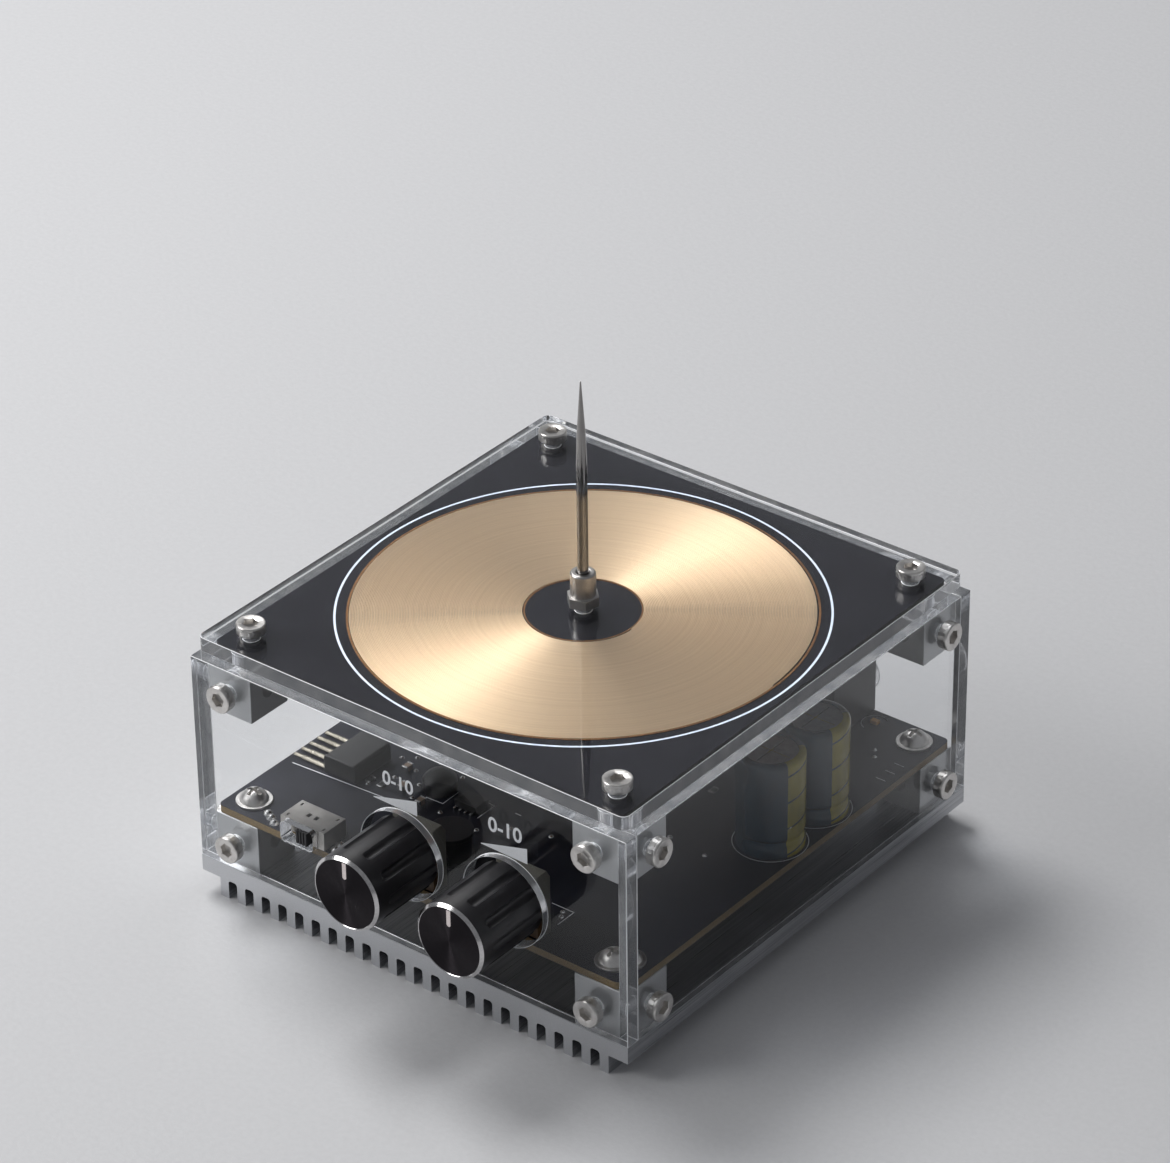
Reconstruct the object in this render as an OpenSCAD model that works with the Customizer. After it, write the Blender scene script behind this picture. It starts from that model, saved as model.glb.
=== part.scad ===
// Desktop resonant transformer: a spiral coil board under a clear lid, a driver
// board in a clear case, and a finned aluminium base that cools the transistors.
// The origin is the centre of the base's underside. +Z is up, and the side with
// the two knobs faces -Y.

/* [Case] */
// Width of the case over its side walls
case_w = 100; // [92:1:130]
// Depth of the case over its front and rear walls
case_d = 104; // [96:1:134]
// Thickness of the clear walls
wall_t = 3; // [2:0.5:4]
// Height of the clear walls
wall_h = 43.5; // [40:0.5:56]
// Thickness of the clear lid
lid_t = 3; // [2:0.5:5]
// Distance of the lid's edge inside the walls' outer faces
lid_inset = 1; // [0:0.25:2]
// Radius of the lid's corners
lid_corner_r = 1.5; // [0.5:0.25:2.5]
// Edge of the cubes that join the walls at the corners
corner_cube = 10; // [9:0.5:12]

/* [Finned base] */
// Thickness of the base plate above the fins
base_t = 3.5; // [3:0.25:5]
// Height of the fins
fin_h = 4; // [3.5:0.25:6]
// Thickness of a fin
fin_t = 2; // [1.5:0.1:2.5]
// Gap between two fins
fin_gap = 2.06; // [1.8:0.02:2.5]
// Radius at the root of a gap
fin_root_r = 0.6; // [0.2:0.1:0.8]
// Least width of the flat margin beside the outer fins
fin_margin = 4.2; // [3:0.1:6]

/* [Fasteners] */
// Diameter of the screws' threads
screw_d = 3; // [2.5:0.1:3]
// Diameter of the socket screws' heads
cap_head_d = 5.5; // [5:0.1:6]
// Height of the socket screws' heads
cap_head_h = 2; // [1.8:0.1:3]
// Width across the flats of the hexagon sockets
hex_key = 2.5; // [2:0.1:2.6]
// Length of a wall screw under its head
wall_screw_len = 6; // [5:0.25:6.25]
// Length of a lid screw under its head
lid_screw_len = 8; // [7:0.25:8]
// Length of a base screw under its head
base_screw_len = 8; // [6:0.5:9]
// Diameter of the round-headed screws' heads
pan_head_d = 5.6; // [5:0.1:6]
// Height of the round-headed screws' heads
pan_head_h = 2.1; // [1.8:0.1:2.4]
// Length of a board screw under its head
pan_screw_len = 6; // [5:0.5:6]
// Diameter of the washers
washer_d = 7; // [6.2:0.1:8]
// Thickness of the washers
washer_t = 0.5; // [0.4:0.1:0.8]

/* [Boards] */
// Thickness of both circuit boards
board_t = 1.6; // [1:0.1:2]
// Gap between a board's edge and the walls
board_gap = 0.2; // [0.1:0.05:0.6]
// Depth of the coil board's underside below the walls' top
coil_board_sink = 0.6; // [0:0.1:1.2]
// Radius of the boards' corners
board_corner_r = 1.2; // [0.5:0.1:2]

/* [Coils] */
// Turns of the secondary spiral
secondary_turns = 24; // [12:1:24]
// Inner radius of the secondary spiral
secondary_r0 = 11; // [10:0.5:14]
// Outer radius of the secondary spiral
secondary_r1 = 43; // [40:0.5:43]
// Gap between two turns of the secondary spiral
secondary_gap = 0.45; // [0.42:0.01:0.6]
// Turns of the primary spiral
primary_turns = 3; // [2:1:4]
// Inner radius of the primary spiral
primary_r0 = 26; // [24:1:30]
// Outer radius of the primary spiral
primary_r1 = 42; // [40:0.5:43]
// Gap between two turns of the primary spiral
primary_gap = 1.2; // [1:0.1:2]
// Thickness of the copper spirals
track_t = 0.15; // [0.1:0.05:0.3]

/* [Discharge needle] */
// Diameter of the needle
needle_d = 2.1; // [1.8:0.1:2.4]
// Length of the needle
needle_len = 45; // [35:1:60]
// Length of the needle's tapered end
needle_taper = 17.5; // [8:0.5:24]
// Depth of the needle in its socket
needle_depth = 5.4; // [4:0.2:6]
// Width of the socket's hexagon across its flats
socket_af = 5.5; // [5:0.1:6]
// Height of the socket's hexagon
socket_hex_h = 2; // [1.5:0.1:3]
// Diameter of the socket's sleeve
socket_sleeve_d = 4.8; // [4.2:0.1:4.9]
// Height of the socket's sleeve
socket_sleeve_h = 4.8; // [4.4:0.1:7]
// Turn of the hexagon about its axis
socket_turn = 16; // [0:1:59]

/* [Knobs] */
// Diameter of the knobs
knob_d = 15; // [13:0.5:17]
// Length of the knobs
knob_len = 17; // [14:0.5:20]
// Distance of the knobs' faces in front of the front wall
knob_reach = 15; // [12:0.5:18]
// Distance between the two knobs' axes
knob_pitch = 23.8; // [21:0.2:26]
// Distance of the knobs' midpoint right of the middle
knob_mid = 10.4; // [8:0.2:11]
// Height of the knobs' axes above the driver board
knob_axis_h = 7.9; // [7:0.1:9]
// Width of the bright bevel round a knob's face
knob_bevel = 0.55; // [0.3:0.05:1]
// Depth of a knob's spun face below its bevel
knob_dish = 0.1; // [0.05:0.05:0.3]
// Number of grip flutes round a knob
flute_count = 10; // [8:1:14]
// Radius of a grip flute
flute_r = 1.1; // [0.8:0.1:1.3]
// Depth of a grip flute
flute_depth = 0.65; // [0.3:0.05:0.8]
// Length of the plain collar in front of the flutes
knob_collar = 3.2; // [2:0.2:5]
// Gap between a knob and the rim of its hole
knob_hole_gap = 1.5; // [0.8:0.1:2]

/* [Potentiometers] */
// Width of a potentiometer
pot_w = 10.6; // [9.5:0.1:12]
// Depth of a potentiometer's case
pot_case_t = 3.7; // [3:0.1:6]
// Thickness of a potentiometer's brown wafer
pot_wafer_t = 1.2; // [1:0.1:1.6]
// Height of a potentiometer above the driver board
pot_h = 13.6; // [12:0.1:15]
// Gap between a potentiometer and the front wall
pot_wall_gap = 0.5; // [0.3:0.1:1]
// Diameter of a potentiometer's bushing
pot_bushing_d = 7.6; // [7:0.1:8.6]
// Diameter of a potentiometer's shaft
pot_shaft_d = 6; // [4:0.5:6]
// Diameter of the insert that holds a knob on its shaft
knob_insert_d = 9.4; // [8.6:0.1:10]
// Depth of the shaft in a knob, from the knob's rear end
knob_shaft_depth = 11.5; // [8:0.5:12]

/* [Slide switch] */
// Width of the switch's shell
switch_w = 10.4; // [9:0.1:12]
// Depth of the switch's shell
switch_d = 6.2; // [5:0.1:7]
// Height of the switch's shell
switch_h = 3.8; // [3.6:0.1:5]
// Thickness of the switch's shell
switch_sheet = 0.3; // [0.2:0.05:0.4]
// Distance of the switch's middle from the driver board's left edge
switch_edge = 20.7; // [18:0.1:23]
// Width of the switch's lever
lever_w = 2.6; // [2:0.1:3]
// Reach of the lever in front of the shell
lever_reach = 3.1; // [2.8:0.1:5]
// Travel of the lever
lever_travel = 2; // [1.5:0.1:2.5]

/* [Driver board parts] */
// Diameter of a bulk capacitor
cap_d = 13; // [11:0.5:13.5]
// Height of a bulk capacitor
cap_h = 20; // [14:0.5:24]
// Gap between the two bulk capacitors
cap_gap = 0.6; // [0.4:0.1:2]
// Gap between the bulk capacitors and the driver board's right edge
cap_edge_gap = 0.5; // [0.2:0.1:1]
// Width of the power package, along its row of leads
package_w = 10.4; // [9.6:0.1:12]
// Depth of the power package, along its leads
package_d = 7.7; // [7:0.1:9]
// Height of the power package
package_h = 3.6; // [3:0.1:4.6]
// Distance between two leads of the power package
lead_pitch = 2.25; // [1.9:0.05:2.3]
// Length of the power package's leads
lead_len = 8; // [6:0.5:8]
// Width of the power jack
jack_w = 9; // [8.8:0.1:11]
// Height of the power jack
jack_h = 11; // [10.4:0.1:12]
// Depth of the power jack
jack_d = 13.4; // [12:0.2:16]
// Diameter of the power jack's bore
jack_bore_d = 6.3; // [5.8:0.1:6.5]
// Diameter of the power jack's centre pin
jack_pin_d = 2.1; // [1.6:0.1:2.5]
// Distance of the power jack's axis from the driver board's right edge
jack_edge = 21.8; // [20:0.1:26]
// Diameter of the two posts between the boards
post_d = 4; // [3:0.5:5]

/* [Hidden] */
$fn = 48;
step = 0.01;                // overlap of cutters past the faces they cut
press_gap = 0.05;           // radial gap between seated round pieces
thread_gap = 0.05;          // radial gap round a screw in its thread
run_gap = 0.05;             // radial gap round a shaft or needle that moves
screw_gap = 0.1;            // radial gap round a screw in a plain hole

inner_w = case_w - 2 * wall_t;
inner_d = case_d - 2 * wall_t;
cube_x = inner_w / 2 - corner_cube / 2;
cube_y = inner_d / 2 - corner_cube / 2;

base_top = fin_h + base_t;
driver_z = base_top + corner_cube;
driver_top = driver_z + board_t;
wall_top = base_top + wall_h;
coil_z = wall_top - coil_board_sink;
coil_top = coil_z + board_t;
lid_z = coil_top + track_t;
lid_top = lid_z + lid_t;
lower_screw_z = base_top + corner_cube / 2;
upper_screw_z = coil_z - corner_cube / 2;

board_w = inner_w - 2 * board_gap;
board_d = inner_d - 2 * board_gap;
board_left = -board_w / 2;
board_right = board_w / 2;
board_front = -board_d / 2;
board_rear = board_d / 2;
front_inner = -inner_d / 2;
rear_inner = inner_d / 2;

clear_hole = screw_d + 2 * screw_gap;
thread_hole = screw_d + 2 * thread_gap;
head_pocket = cap_head_d + 1;
washer_hole = screw_d + 2 * screw_gap;

fin_pitch = fin_t + fin_gap;
fin_half = floor((case_w / 2 - fin_margin - fin_t / 2) / fin_pitch);

// Needle and socket
needle_bore = needle_d + 2 * run_gap;
foot_gap = 0.1;             // gap under the needle's foot
needle_bore_depth = needle_depth + foot_gap;
sleeve_z = lid_top + socket_hex_h;
socket_top = sleeve_z + socket_sleeve_h;
needle_z = socket_top - needle_depth;
nut_h = 2.4;
thread_end = 0.6;           // length of the socket's thread past its nut
nut_hole = screw_d + 2 * thread_gap;

// Knobs and potentiometers, placed along -Y from the front wall
knob_x = [knob_mid - knob_pitch / 2, knob_mid + knob_pitch / 2];
knob_z = driver_top + knob_axis_h;
knob_face = -case_d / 2 - knob_reach;
knob_back = knob_face + knob_len;
knob_hole_d = knob_d + 2 * knob_hole_gap;
pot_front = front_inner + pot_wall_gap;
pot_case_front = pot_front + pot_wafer_t;
pot_back = pot_case_front + pot_case_t;
pot_chamfer_y = 1;
pot_chamfer_z = 1.6;
pot_case_bore_depth = 1.2;
bushing_end_gap = 0.3;
bushing_len = pot_front - (knob_back + bushing_end_gap);
bushing_bore = pot_shaft_d + 2 * run_gap;
shaft_end_gap = 0.2;        // gap behind the shaft in its case
shaft_start = pot_case_front + pot_case_bore_depth - shaft_end_gap;
shaft_end = knob_back - knob_shaft_depth;
shaft_flat = 0.75;          // share of the radius left at the shaft's flat
insert_cap_t = 0.6;         // thickness of the insert's closed end
insert_end = shaft_end - insert_cap_t;
knob_cavity_d = knob_insert_d + 2 * press_gap;
pointer_w = 0.9;
pointer_len = 3.4;
pointer_depth = 0.15;
pointer_inset = 0.35;
pointer_top = knob_d / 2 - knob_bevel - pointer_inset;
terminal_pitch = 2.5;
terminal_size = [0.8, 2.2, 0.4];

// Points in one turn of each spiral
secondary_steps = 30;
primary_steps = 36;

// Slide switch
switch_x = board_left + switch_edge;
switch_front = board_front;
lever_room = 0.5;           // height left free above and below the lever
lever_h = switch_h - 2 * switch_sheet - lever_room;
lever_z = driver_top + switch_h / 2;
lever_x = switch_x + lever_travel / 2;
lever_gap = 0.25;
slot_side_gap = 1.5;
slot_top_gap = 0.8;
slot_w = lever_w + lever_travel + 2 * slot_side_gap;
slot_h = lever_h + 2 * slot_top_gap;
slot_r = 1;
carrier_w = 4.4;
carrier_d = 1.6;
tray_h = 0.9;

// Bulk capacitors
cap_x = board_right - cap_edge_gap - cap_d / 2;
cap_front_y = 1.5;
cap_y = [cap_front_y, cap_front_y + cap_d + cap_gap];
sleeve_t = 0.25;
can_d = cap_d - 2 * sleeve_t - 2 * press_gap;
cap_groove_r = 1.2;
cap_groove_depth = 0.55;
cap_groove_z = 3;
cap_edge_r = 0.9;
sleeve_lip = 1.5;

// Other parts of the driver board
lead_edge_gap = 0.5;
package_front_gap = 25.4;
package_x = board_left + lead_edge_gap + lead_len;
package_y = board_front + package_front_gap;
lead_w = 1.2;
lead_t = 0.8;
jack_x = board_right - jack_edge;
jack_rise = 0.9;            // height of the jack's axis above its block's middle
jack_z = driver_top + jack_h / 2 + jack_rise;
jack_nose_d = jack_bore_d + 1.7;
jack_bore_depth = 9.4;
jack_hole_d = jack_nose_d + 0.6;
choke_front_gap = 12.8;
choke = [knob_x[0], board_front + choke_front_gap];
choke_d = 8.4;
choke_h = 6;
choke_pin = 2.5;

// Small parts, placed from the driver board's left edge and its front edge
dome_place = [29.6, 28.6];
dome_d = 6.6;
dome_h = 4.2;
chip_place = [38, 27.6];
chip_size = [5, 4, 1.5];
chip_pin_size = [0.4, 1, 0.5];
chip_pin_pitch = 1.27;
small_cap_places = [[30, 22.4], [20.8, 29.8], [24.2, 24.4], [49.2, 34.8], [54, 40.8], [22.8, 36.8]];
small_cap_size = [1.3, 2.1, 1.2];
resistor_places = [[17.6, 22.8], [20.4, 22.8], [45.2, 36.8], [42.6, 36.8], [58.8, 46.8], [61.2, 46.8], [68.8, 56.8]];
resistor_size = [1.3, 2, 0.5];

// The light, placed from the board's right edge and its rear edge
led_place = [14.5, 3.8];
led_size = [1.6, 1.2, 0.7];

// Trimmed pins under the driver board
nub_d = 1.4;
nub_h = 1.3;
cap_pin = 2.5;
jack_pin_place = [3, 2];
switch_pin = 2.5;
side_pin_place = [1.6, 16.3];
nubs = [
    for (y = cap_y, i = [-1, 1]) [cap_x + i * cap_pin, y],
    for (i = [-1, 1]) [jack_x + i * jack_pin_place.x, rear_inner - jack_d + jack_pin_place.y],
    for (i = [-1, 0, 1]) [switch_x + i * switch_pin, switch_front + switch_d / 2],
    for (i = [-1, 1]) [choke.x + i * choke_pin, choke.y],
    [board_right - side_pin_place.x, board_rear - side_pin_place.y]
];

// Transistors, lying on the base under the driver board
transistor_x = 17;
transistor_y = 6;
tab_size = [10, 15.8, 1.3];
transistor_size = [10, 9.2, 4.4];
pad_t = 0.3;
leg_pitch = 2.54;
leg_w = 0.8;
leg_t = 0.5;
leg_out = 3.5;
tab_screw_y = 2.9;
tab_screw_end = 0.2;        // distance of the screw's end above the base plate's underside
tab_screw_len = pad_t + tab_size.z + base_t - tab_screw_end;
post_x = 14;
post_rear_gap = 11.8;
post_y = board_rear - post_rear_gap;

// ---------- helpers ----------

// A rectangle with round corners
module round_rect(w, d, r) {
    square([w - 2 * r, d], center = true);
    square([w, d - 2 * r], center = true);
    for (x = [-1, 1], y = [-1, 1])
        translate([x * (w / 2 - r), y * (d / 2 - r)])
            circle(r);
}

// A copy at each of the four corner cubes
module at_corners(x = cube_x, y = cube_y) {
    for (i = [-1, 1], j = [-1, 1])
        translate([i * x, j * y, 0])
            children();
}

// Turns a piece that stands on +Z so that it points to the front, -Y
module face_front() {
    rotate([90, 0, 0])
        children();
}

// A socket screw: its head stands on z = 0 and its thread runs down
module cap_screw(len) {
    edge = 0.35;
    socket_floor = cap_head_h * 0.45;
    difference() {
        union() {
            rotate_extrude()
                polygon([[0, 0], [cap_head_d / 2, 0], [cap_head_d / 2, cap_head_h - edge],
                    [cap_head_d / 2 - edge, cap_head_h], [0, cap_head_h]]);
            translate([0, 0, -len])
                cylinder(d = screw_d, h = len + step);
        }
        translate([0, 0, socket_floor])
            cylinder(d = hex_key / cos(30), h = cap_head_h, $fn = 6);
    }
}

// A round-headed screw with a cross recess: its head stands on z = 0
module pan_screw(len) {
    recess = [pan_head_d * 0.57, screw_d * 0.23, pan_head_h * 0.57];
    dome_r = (pow(pan_head_d / 2, 2) + pow(pan_head_h, 2)) / (2 * pan_head_h);
    difference() {
        union() {
            intersection() {
                cylinder(d = pan_head_d, h = pan_head_h);
                translate([0, 0, pan_head_h - dome_r])
                    sphere(dome_r);
            }
            translate([0, 0, -len])
                cylinder(d = screw_d, h = len + step);
        }
        for (a = [0, 90])
            rotate(a)
                translate([-recess.x / 2, -recess.y / 2, pan_head_h - recess.z])
                    cube([recess.x, recess.y, pan_head_h]);
    }
}

// A flat board with four screw holes
module board() {
    linear_extrude(board_t)
        difference() {
            round_rect(board_w, board_d, board_corner_r);
            for (i = [-1, 1], j = [-1, 1])
                translate([i * cube_x, j * cube_y])
                    circle(d = clear_hole);
        }
}

// ---------- finned base ----------

module fin_gap_outline() {
    w = fin_gap;
    translate([-w / 2, -1])
        square([w, fin_h + 1 - fin_root_r]);
    translate([-w / 2 + fin_root_r, 0])
        square([w - 2 * fin_root_r, fin_h]);
    for (i = [-1, 1])
        translate([i * (w / 2 - fin_root_r), fin_h - fin_root_r])
            circle(fin_root_r);
}

module heat_sink() {
    comb_w = 2 * fin_half * fin_pitch + fin_t;
    color([0.80, 0.81, 0.83])
    difference() {
        face_front()
            linear_extrude(case_d, center = true)
                difference() {
                    union() {
                        translate([-case_w / 2, fin_h])
                            square([case_w, base_t]);
                        translate([-comb_w / 2, 0])
                            square([comb_w, fin_h + step]);
                    }
                    for (i = [-fin_half : fin_half - 1])
                        translate([(i + 0.5) * fin_pitch, 0])
                            fin_gap_outline();
                }
        at_corners() {
            translate([0, 0, -1])
                cylinder(d = clear_hole, h = base_top + 2);
            translate([0, 0, -1])
                cylinder(d = head_pocket, h = fin_h + 1);
        }
        for (i = [-1, 1])
            translate([i * transistor_x, transistor_y + tab_size.y - tab_screw_y, fin_h - 1])
                cylinder(d = thread_hole, h = base_t + 2);
    }
}

// ---------- case ----------

// A clear wall in the XZ plane with its screw holes; children are cut out of it
module clear_wall(w, screw_x) {
    difference() {
        linear_extrude(wall_t)
            difference() {
                translate([-w / 2, base_top])
                    square([w, wall_h]);
                for (i = [-1, 1], z = [lower_screw_z, upper_screw_z])
                    translate([i * screw_x, z])
                        circle(d = clear_hole);
            }
        children();
    }
}

module front_wall() {
    color([0.86, 0.90, 0.94, 0.35])
    translate([0, front_inner, 0])
    face_front()
        clear_wall(case_w, cube_x) {
            for (x = knob_x)
                translate([x, knob_z, -1])
                    cylinder(d = knob_hole_d, h = wall_t + 2);
            translate([switch_x, lever_z, -1])
                linear_extrude(wall_t + 2)
                    round_rect(slot_w, slot_h, slot_r);
        }
}

module rear_wall() {
    color([0.86, 0.90, 0.94, 0.35])
    translate([0, case_d / 2, 0])
    face_front()
        clear_wall(case_w, cube_x)
            translate([jack_x, jack_z, -1])
                cylinder(d = jack_hole_d, h = wall_t + 2);
}

module side_wall() {
    rotate([90, 0, 90])
        clear_wall(inner_d, cube_y);
}

module left_wall() {
    color([0.86, 0.90, 0.94, 0.35])
    translate([-case_w / 2, 0, 0])
        side_wall();
}

module right_wall() {
    color([0.86, 0.90, 0.94, 0.35])
    translate([inner_w / 2, 0, 0])
        side_wall();
}

module lid() {
    color([0.86, 0.90, 0.94, 0.35])
    translate([0, 0, lid_z])
        linear_extrude(lid_t)
            difference() {
                round_rect(case_w - 2 * lid_inset, case_d - 2 * lid_inset, lid_corner_r);
                for (i = [-1, 1], j = [-1, 1])
                    translate([i * cube_x, j * cube_y])
                        circle(d = clear_hole);
                circle(d = clear_hole);
            }
}

// A cube drilled and tapped along all three of its axes
module tapped_cube() {
    difference() {
        cube(corner_cube, center = true);
        for (turn = [[0, 0, 0], [90, 0, 0], [0, 90, 0]])
            rotate(turn)
                cylinder(d = thread_hole, h = corner_cube + 2, center = true);
    }
}

module lower_cubes() {
    color([0.78, 0.79, 0.81])
    translate([0, 0, lower_screw_z])
        at_corners()
            tapped_cube();
}

module upper_cubes() {
    color([0.78, 0.79, 0.81])
    translate([0, 0, upper_screw_z])
        at_corners()
            tapped_cube();
}

module lid_screws() {
    color([0.75, 0.75, 0.77])
    translate([0, 0, lid_top])
        at_corners()
            cap_screw(lid_screw_len);
}

// Four screws through a wall; the wall's outer face is at z = 0 here
module wall_screws(spread) {
    for (i = [-1, 1], z = [lower_screw_z, upper_screw_z])
        translate([i * spread, z, 0])
            cap_screw(wall_screw_len);
}

module front_wall_screws() {
    color([0.75, 0.75, 0.77])
    translate([0, -case_d / 2, 0])
    face_front()
        wall_screws(cube_x);
}

module rear_wall_screws() {
    color([0.75, 0.75, 0.77])
    translate([0, case_d / 2, 0])
    rotate(180)
    face_front()
        wall_screws(cube_x);
}

module left_wall_screws() {
    color([0.75, 0.75, 0.77])
    translate([-case_w / 2, 0, 0])
    rotate(-90)
    face_front()
        wall_screws(cube_y);
}

module right_wall_screws() {
    color([0.75, 0.75, 0.77])
    translate([case_w / 2, 0, 0])
    rotate(90)
    face_front()
        wall_screws(cube_y);
}

module base_screws() {
    color([0.75, 0.75, 0.77])
    translate([0, 0, fin_h])
    mirror([0, 0, 1])
        at_corners()
            cap_screw(base_screw_len);
}

// ---------- coil board ----------

module coil_board() {
    color([0.06, 0.06, 0.08])
    translate([0, 0, coil_z])
        difference() {
            board();
            translate([0, 0, -1])
                cylinder(d = clear_hole, h = board_t + 2);
        }
}

// Points along one edge of a flat spiral track, from its inner end to its outer one
function spiral_edge(r0, r1, turns, side_step, shift) = [
    for (i = [0 : turns * side_step])
        let (a = 360 * i / side_step, r = r0 + (r1 - r0) * i / (turns * side_step) + shift)
            [r * cos(a), r * sin(a)]
];

// Least distance between a track's outer edge and the same track's next turn
function least_gap(outer, inner, side_step) = min([
    for (i = [0 : len(outer) - side_step - 2], j = [-1, 0, 1])
        norm(outer[i] - inner[i + side_step + j])
]);

// One unbroken flat track that winds outwards from r0 to r1
module spiral_track(name, r0, r1, turns, gap, side_step) {
    pitch = (r1 - r0 - gap / 2) / (turns + 0.5);
    track_w = pitch - gap;
    line_r0 = r0 + track_w / 2;
    line_r1 = r1 - track_w / 2;
    real_pitch = (line_r1 - line_r0) / turns;
    half_w = (real_pitch - gap) / 2;
    inner = spiral_edge(line_r0, line_r1, turns, side_step, -half_w);
    outer = spiral_edge(line_r0, line_r1, turns, side_step, half_w);
    echo(str(name, ": least gap between turns ", least_gap(outer, inner, side_step), " mm"));
    linear_extrude(track_t)
        polygon(concat(outer, [for (i = [len(inner) - 1 : -1 : 0]) inner[i]]));
}

module secondary_coil() {
    color([0.80, 0.66, 0.44])
    translate([0, 0, coil_top])
        spiral_track("secondary_coil", secondary_r0, secondary_r1, secondary_turns, secondary_gap, secondary_steps);
}

module primary_coil() {
    color([0.72, 0.45, 0.25])
    translate([0, 0, coil_z - track_t])
        spiral_track("primary_coil", primary_r0, primary_r1, primary_turns, primary_gap, primary_steps);
}

module coil_posts() {
    color([0.80, 0.68, 0.38])
    for (i = [-1, 1])
        translate([i * post_x, post_y, driver_top])
            cylinder(d = post_d, h = coil_z - track_t - driver_top);
}

// ---------- needle ----------

module needle_socket() {
    mouth = 0.3;
    color([0.66, 0.66, 0.67])
    difference() {
        union() {
            translate([0, 0, lid_top])
                rotate(socket_turn)
                    cylinder(d = socket_af / cos(30), h = socket_hex_h, $fn = 6);
            translate([0, 0, sleeve_z])
                rotate_extrude()
                    polygon([[0, 0], [socket_sleeve_d / 2, 0], [socket_sleeve_d / 2, socket_sleeve_h - mouth],
                        [socket_sleeve_d / 2 - mouth, socket_sleeve_h], [0, socket_sleeve_h]]);
            translate([0, 0, coil_z - nut_h - thread_end])
                cylinder(d = screw_d, h = lid_top - coil_z + nut_h + thread_end + step);
        }
        translate([0, 0, socket_top - needle_bore_depth])
            cylinder(d = needle_bore, h = needle_bore_depth + 1);
        translate([0, 0, socket_top - mouth])
            rotate_extrude()
                polygon([[0, 0], [needle_bore / 2, 0], [needle_bore / 2 + mouth, mouth],
                    [needle_bore / 2 + mouth, mouth + 1], [0, mouth + 1]]);
    }
}

module socket_nut() {
    color([0.66, 0.66, 0.67])
    translate([0, 0, coil_z - nut_h])
        difference() {
            cylinder(d = socket_af / cos(30), h = nut_h, $fn = 6);
            translate([0, 0, -1])
                cylinder(d = nut_hole, h = nut_h + 2);
        }
}

module discharge_needle() {
    tip_r = 0.12;
    foot = 0.2;
    shoulder = [0.40, 0.62];    // its radius by diameter, its distance from the tip by taper
    color([0.82, 0.80, 0.76])
    translate([0, 0, needle_z])
        rotate_extrude()
            polygon([[0, 0], [needle_d / 2 - foot, 0], [needle_d / 2, foot],
                [needle_d / 2, needle_len - needle_taper],
                [needle_d * shoulder[0], needle_len - needle_taper * shoulder[1]],
                [tip_r, needle_len - tip_r], [0, needle_len]]);
}

// ---------- driver board ----------

module driver_board() {
    color([0.16, 0.17, 0.19])
    translate([0, 0, driver_z])
        board();
}

module board_screws() {
    color([0.78, 0.76, 0.73])
    translate([0, 0, driver_top + washer_t])
        at_corners()
            pan_screw(pan_screw_len);
}

module board_washers() {
    color([0.80, 0.80, 0.80])
    translate([0, 0, driver_top])
        at_corners()
            difference() {
                cylinder(d = washer_d, h = washer_t);
                translate([0, 0, -1])
                    cylinder(d = washer_hole, h = washer_t + 2);
            }
}

// Trimmed ends of the pins, soldered under the board
module board_solder() {
    color([0.72, 0.72, 0.72])
    for (p = nubs)
        translate([p.x, p.y, driver_z - nub_h])
            cylinder(d1 = nub_d * 0.5, d2 = nub_d, h = nub_h);
}

// ---------- potentiometers ----------

// Side view of a potentiometer's block; x runs to the rear and y up
module pot_outline(depth) {
    polygon([[0, 0], [depth, 0], [depth, pot_h - pot_chamfer_z],
        [depth - pot_chamfer_y, pot_h], [0, pot_h]]);
}

module pot_case(x) {
    translate([x - pot_w / 2, pot_case_front, driver_top])
        difference() {
            rotate([90, 0, 90])
                linear_extrude(pot_w)
                    pot_outline(pot_case_t);
            translate([pot_w / 2, pot_case_bore_depth, knob_axis_h])
                rotate([90, 0, 0])
                    cylinder(d = bushing_bore, h = pot_case_bore_depth + 1);
        }
}

module pot_wafer(x) {
    inset = 0.3;
    top_r = pot_w / 2 - inset;
    translate([x, pot_case_front, driver_top])
        face_front()
            linear_extrude(pot_wafer_t)
                difference() {
                    union() {
                        translate([-top_r, 0])
                            square([2 * top_r, knob_axis_h]);
                        translate([0, knob_axis_h])
                            circle(top_r);
                    }
                    translate([0, knob_axis_h])
                        circle(d = bushing_bore);
                }
}

module pot_bushing(x) {
    translate([x, pot_front, knob_z])
        face_front()
            difference() {
                cylinder(d = pot_bushing_d, h = bushing_len);
                translate([0, 0, -1])
                    cylinder(d = bushing_bore, h = bushing_len + 2);
            }
}

module pot_shaft(x) {
    translate([x, shaft_start, knob_z])
        face_front()
            difference() {
                cylinder(d = pot_shaft_d, h = shaft_start - shaft_end);
                translate([-pot_shaft_d, pot_shaft_d / 2 * shaft_flat, shaft_start - knob_back + 1])
                    cube([2 * pot_shaft_d, pot_shaft_d, shaft_start - shaft_end]);
            }
}

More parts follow.
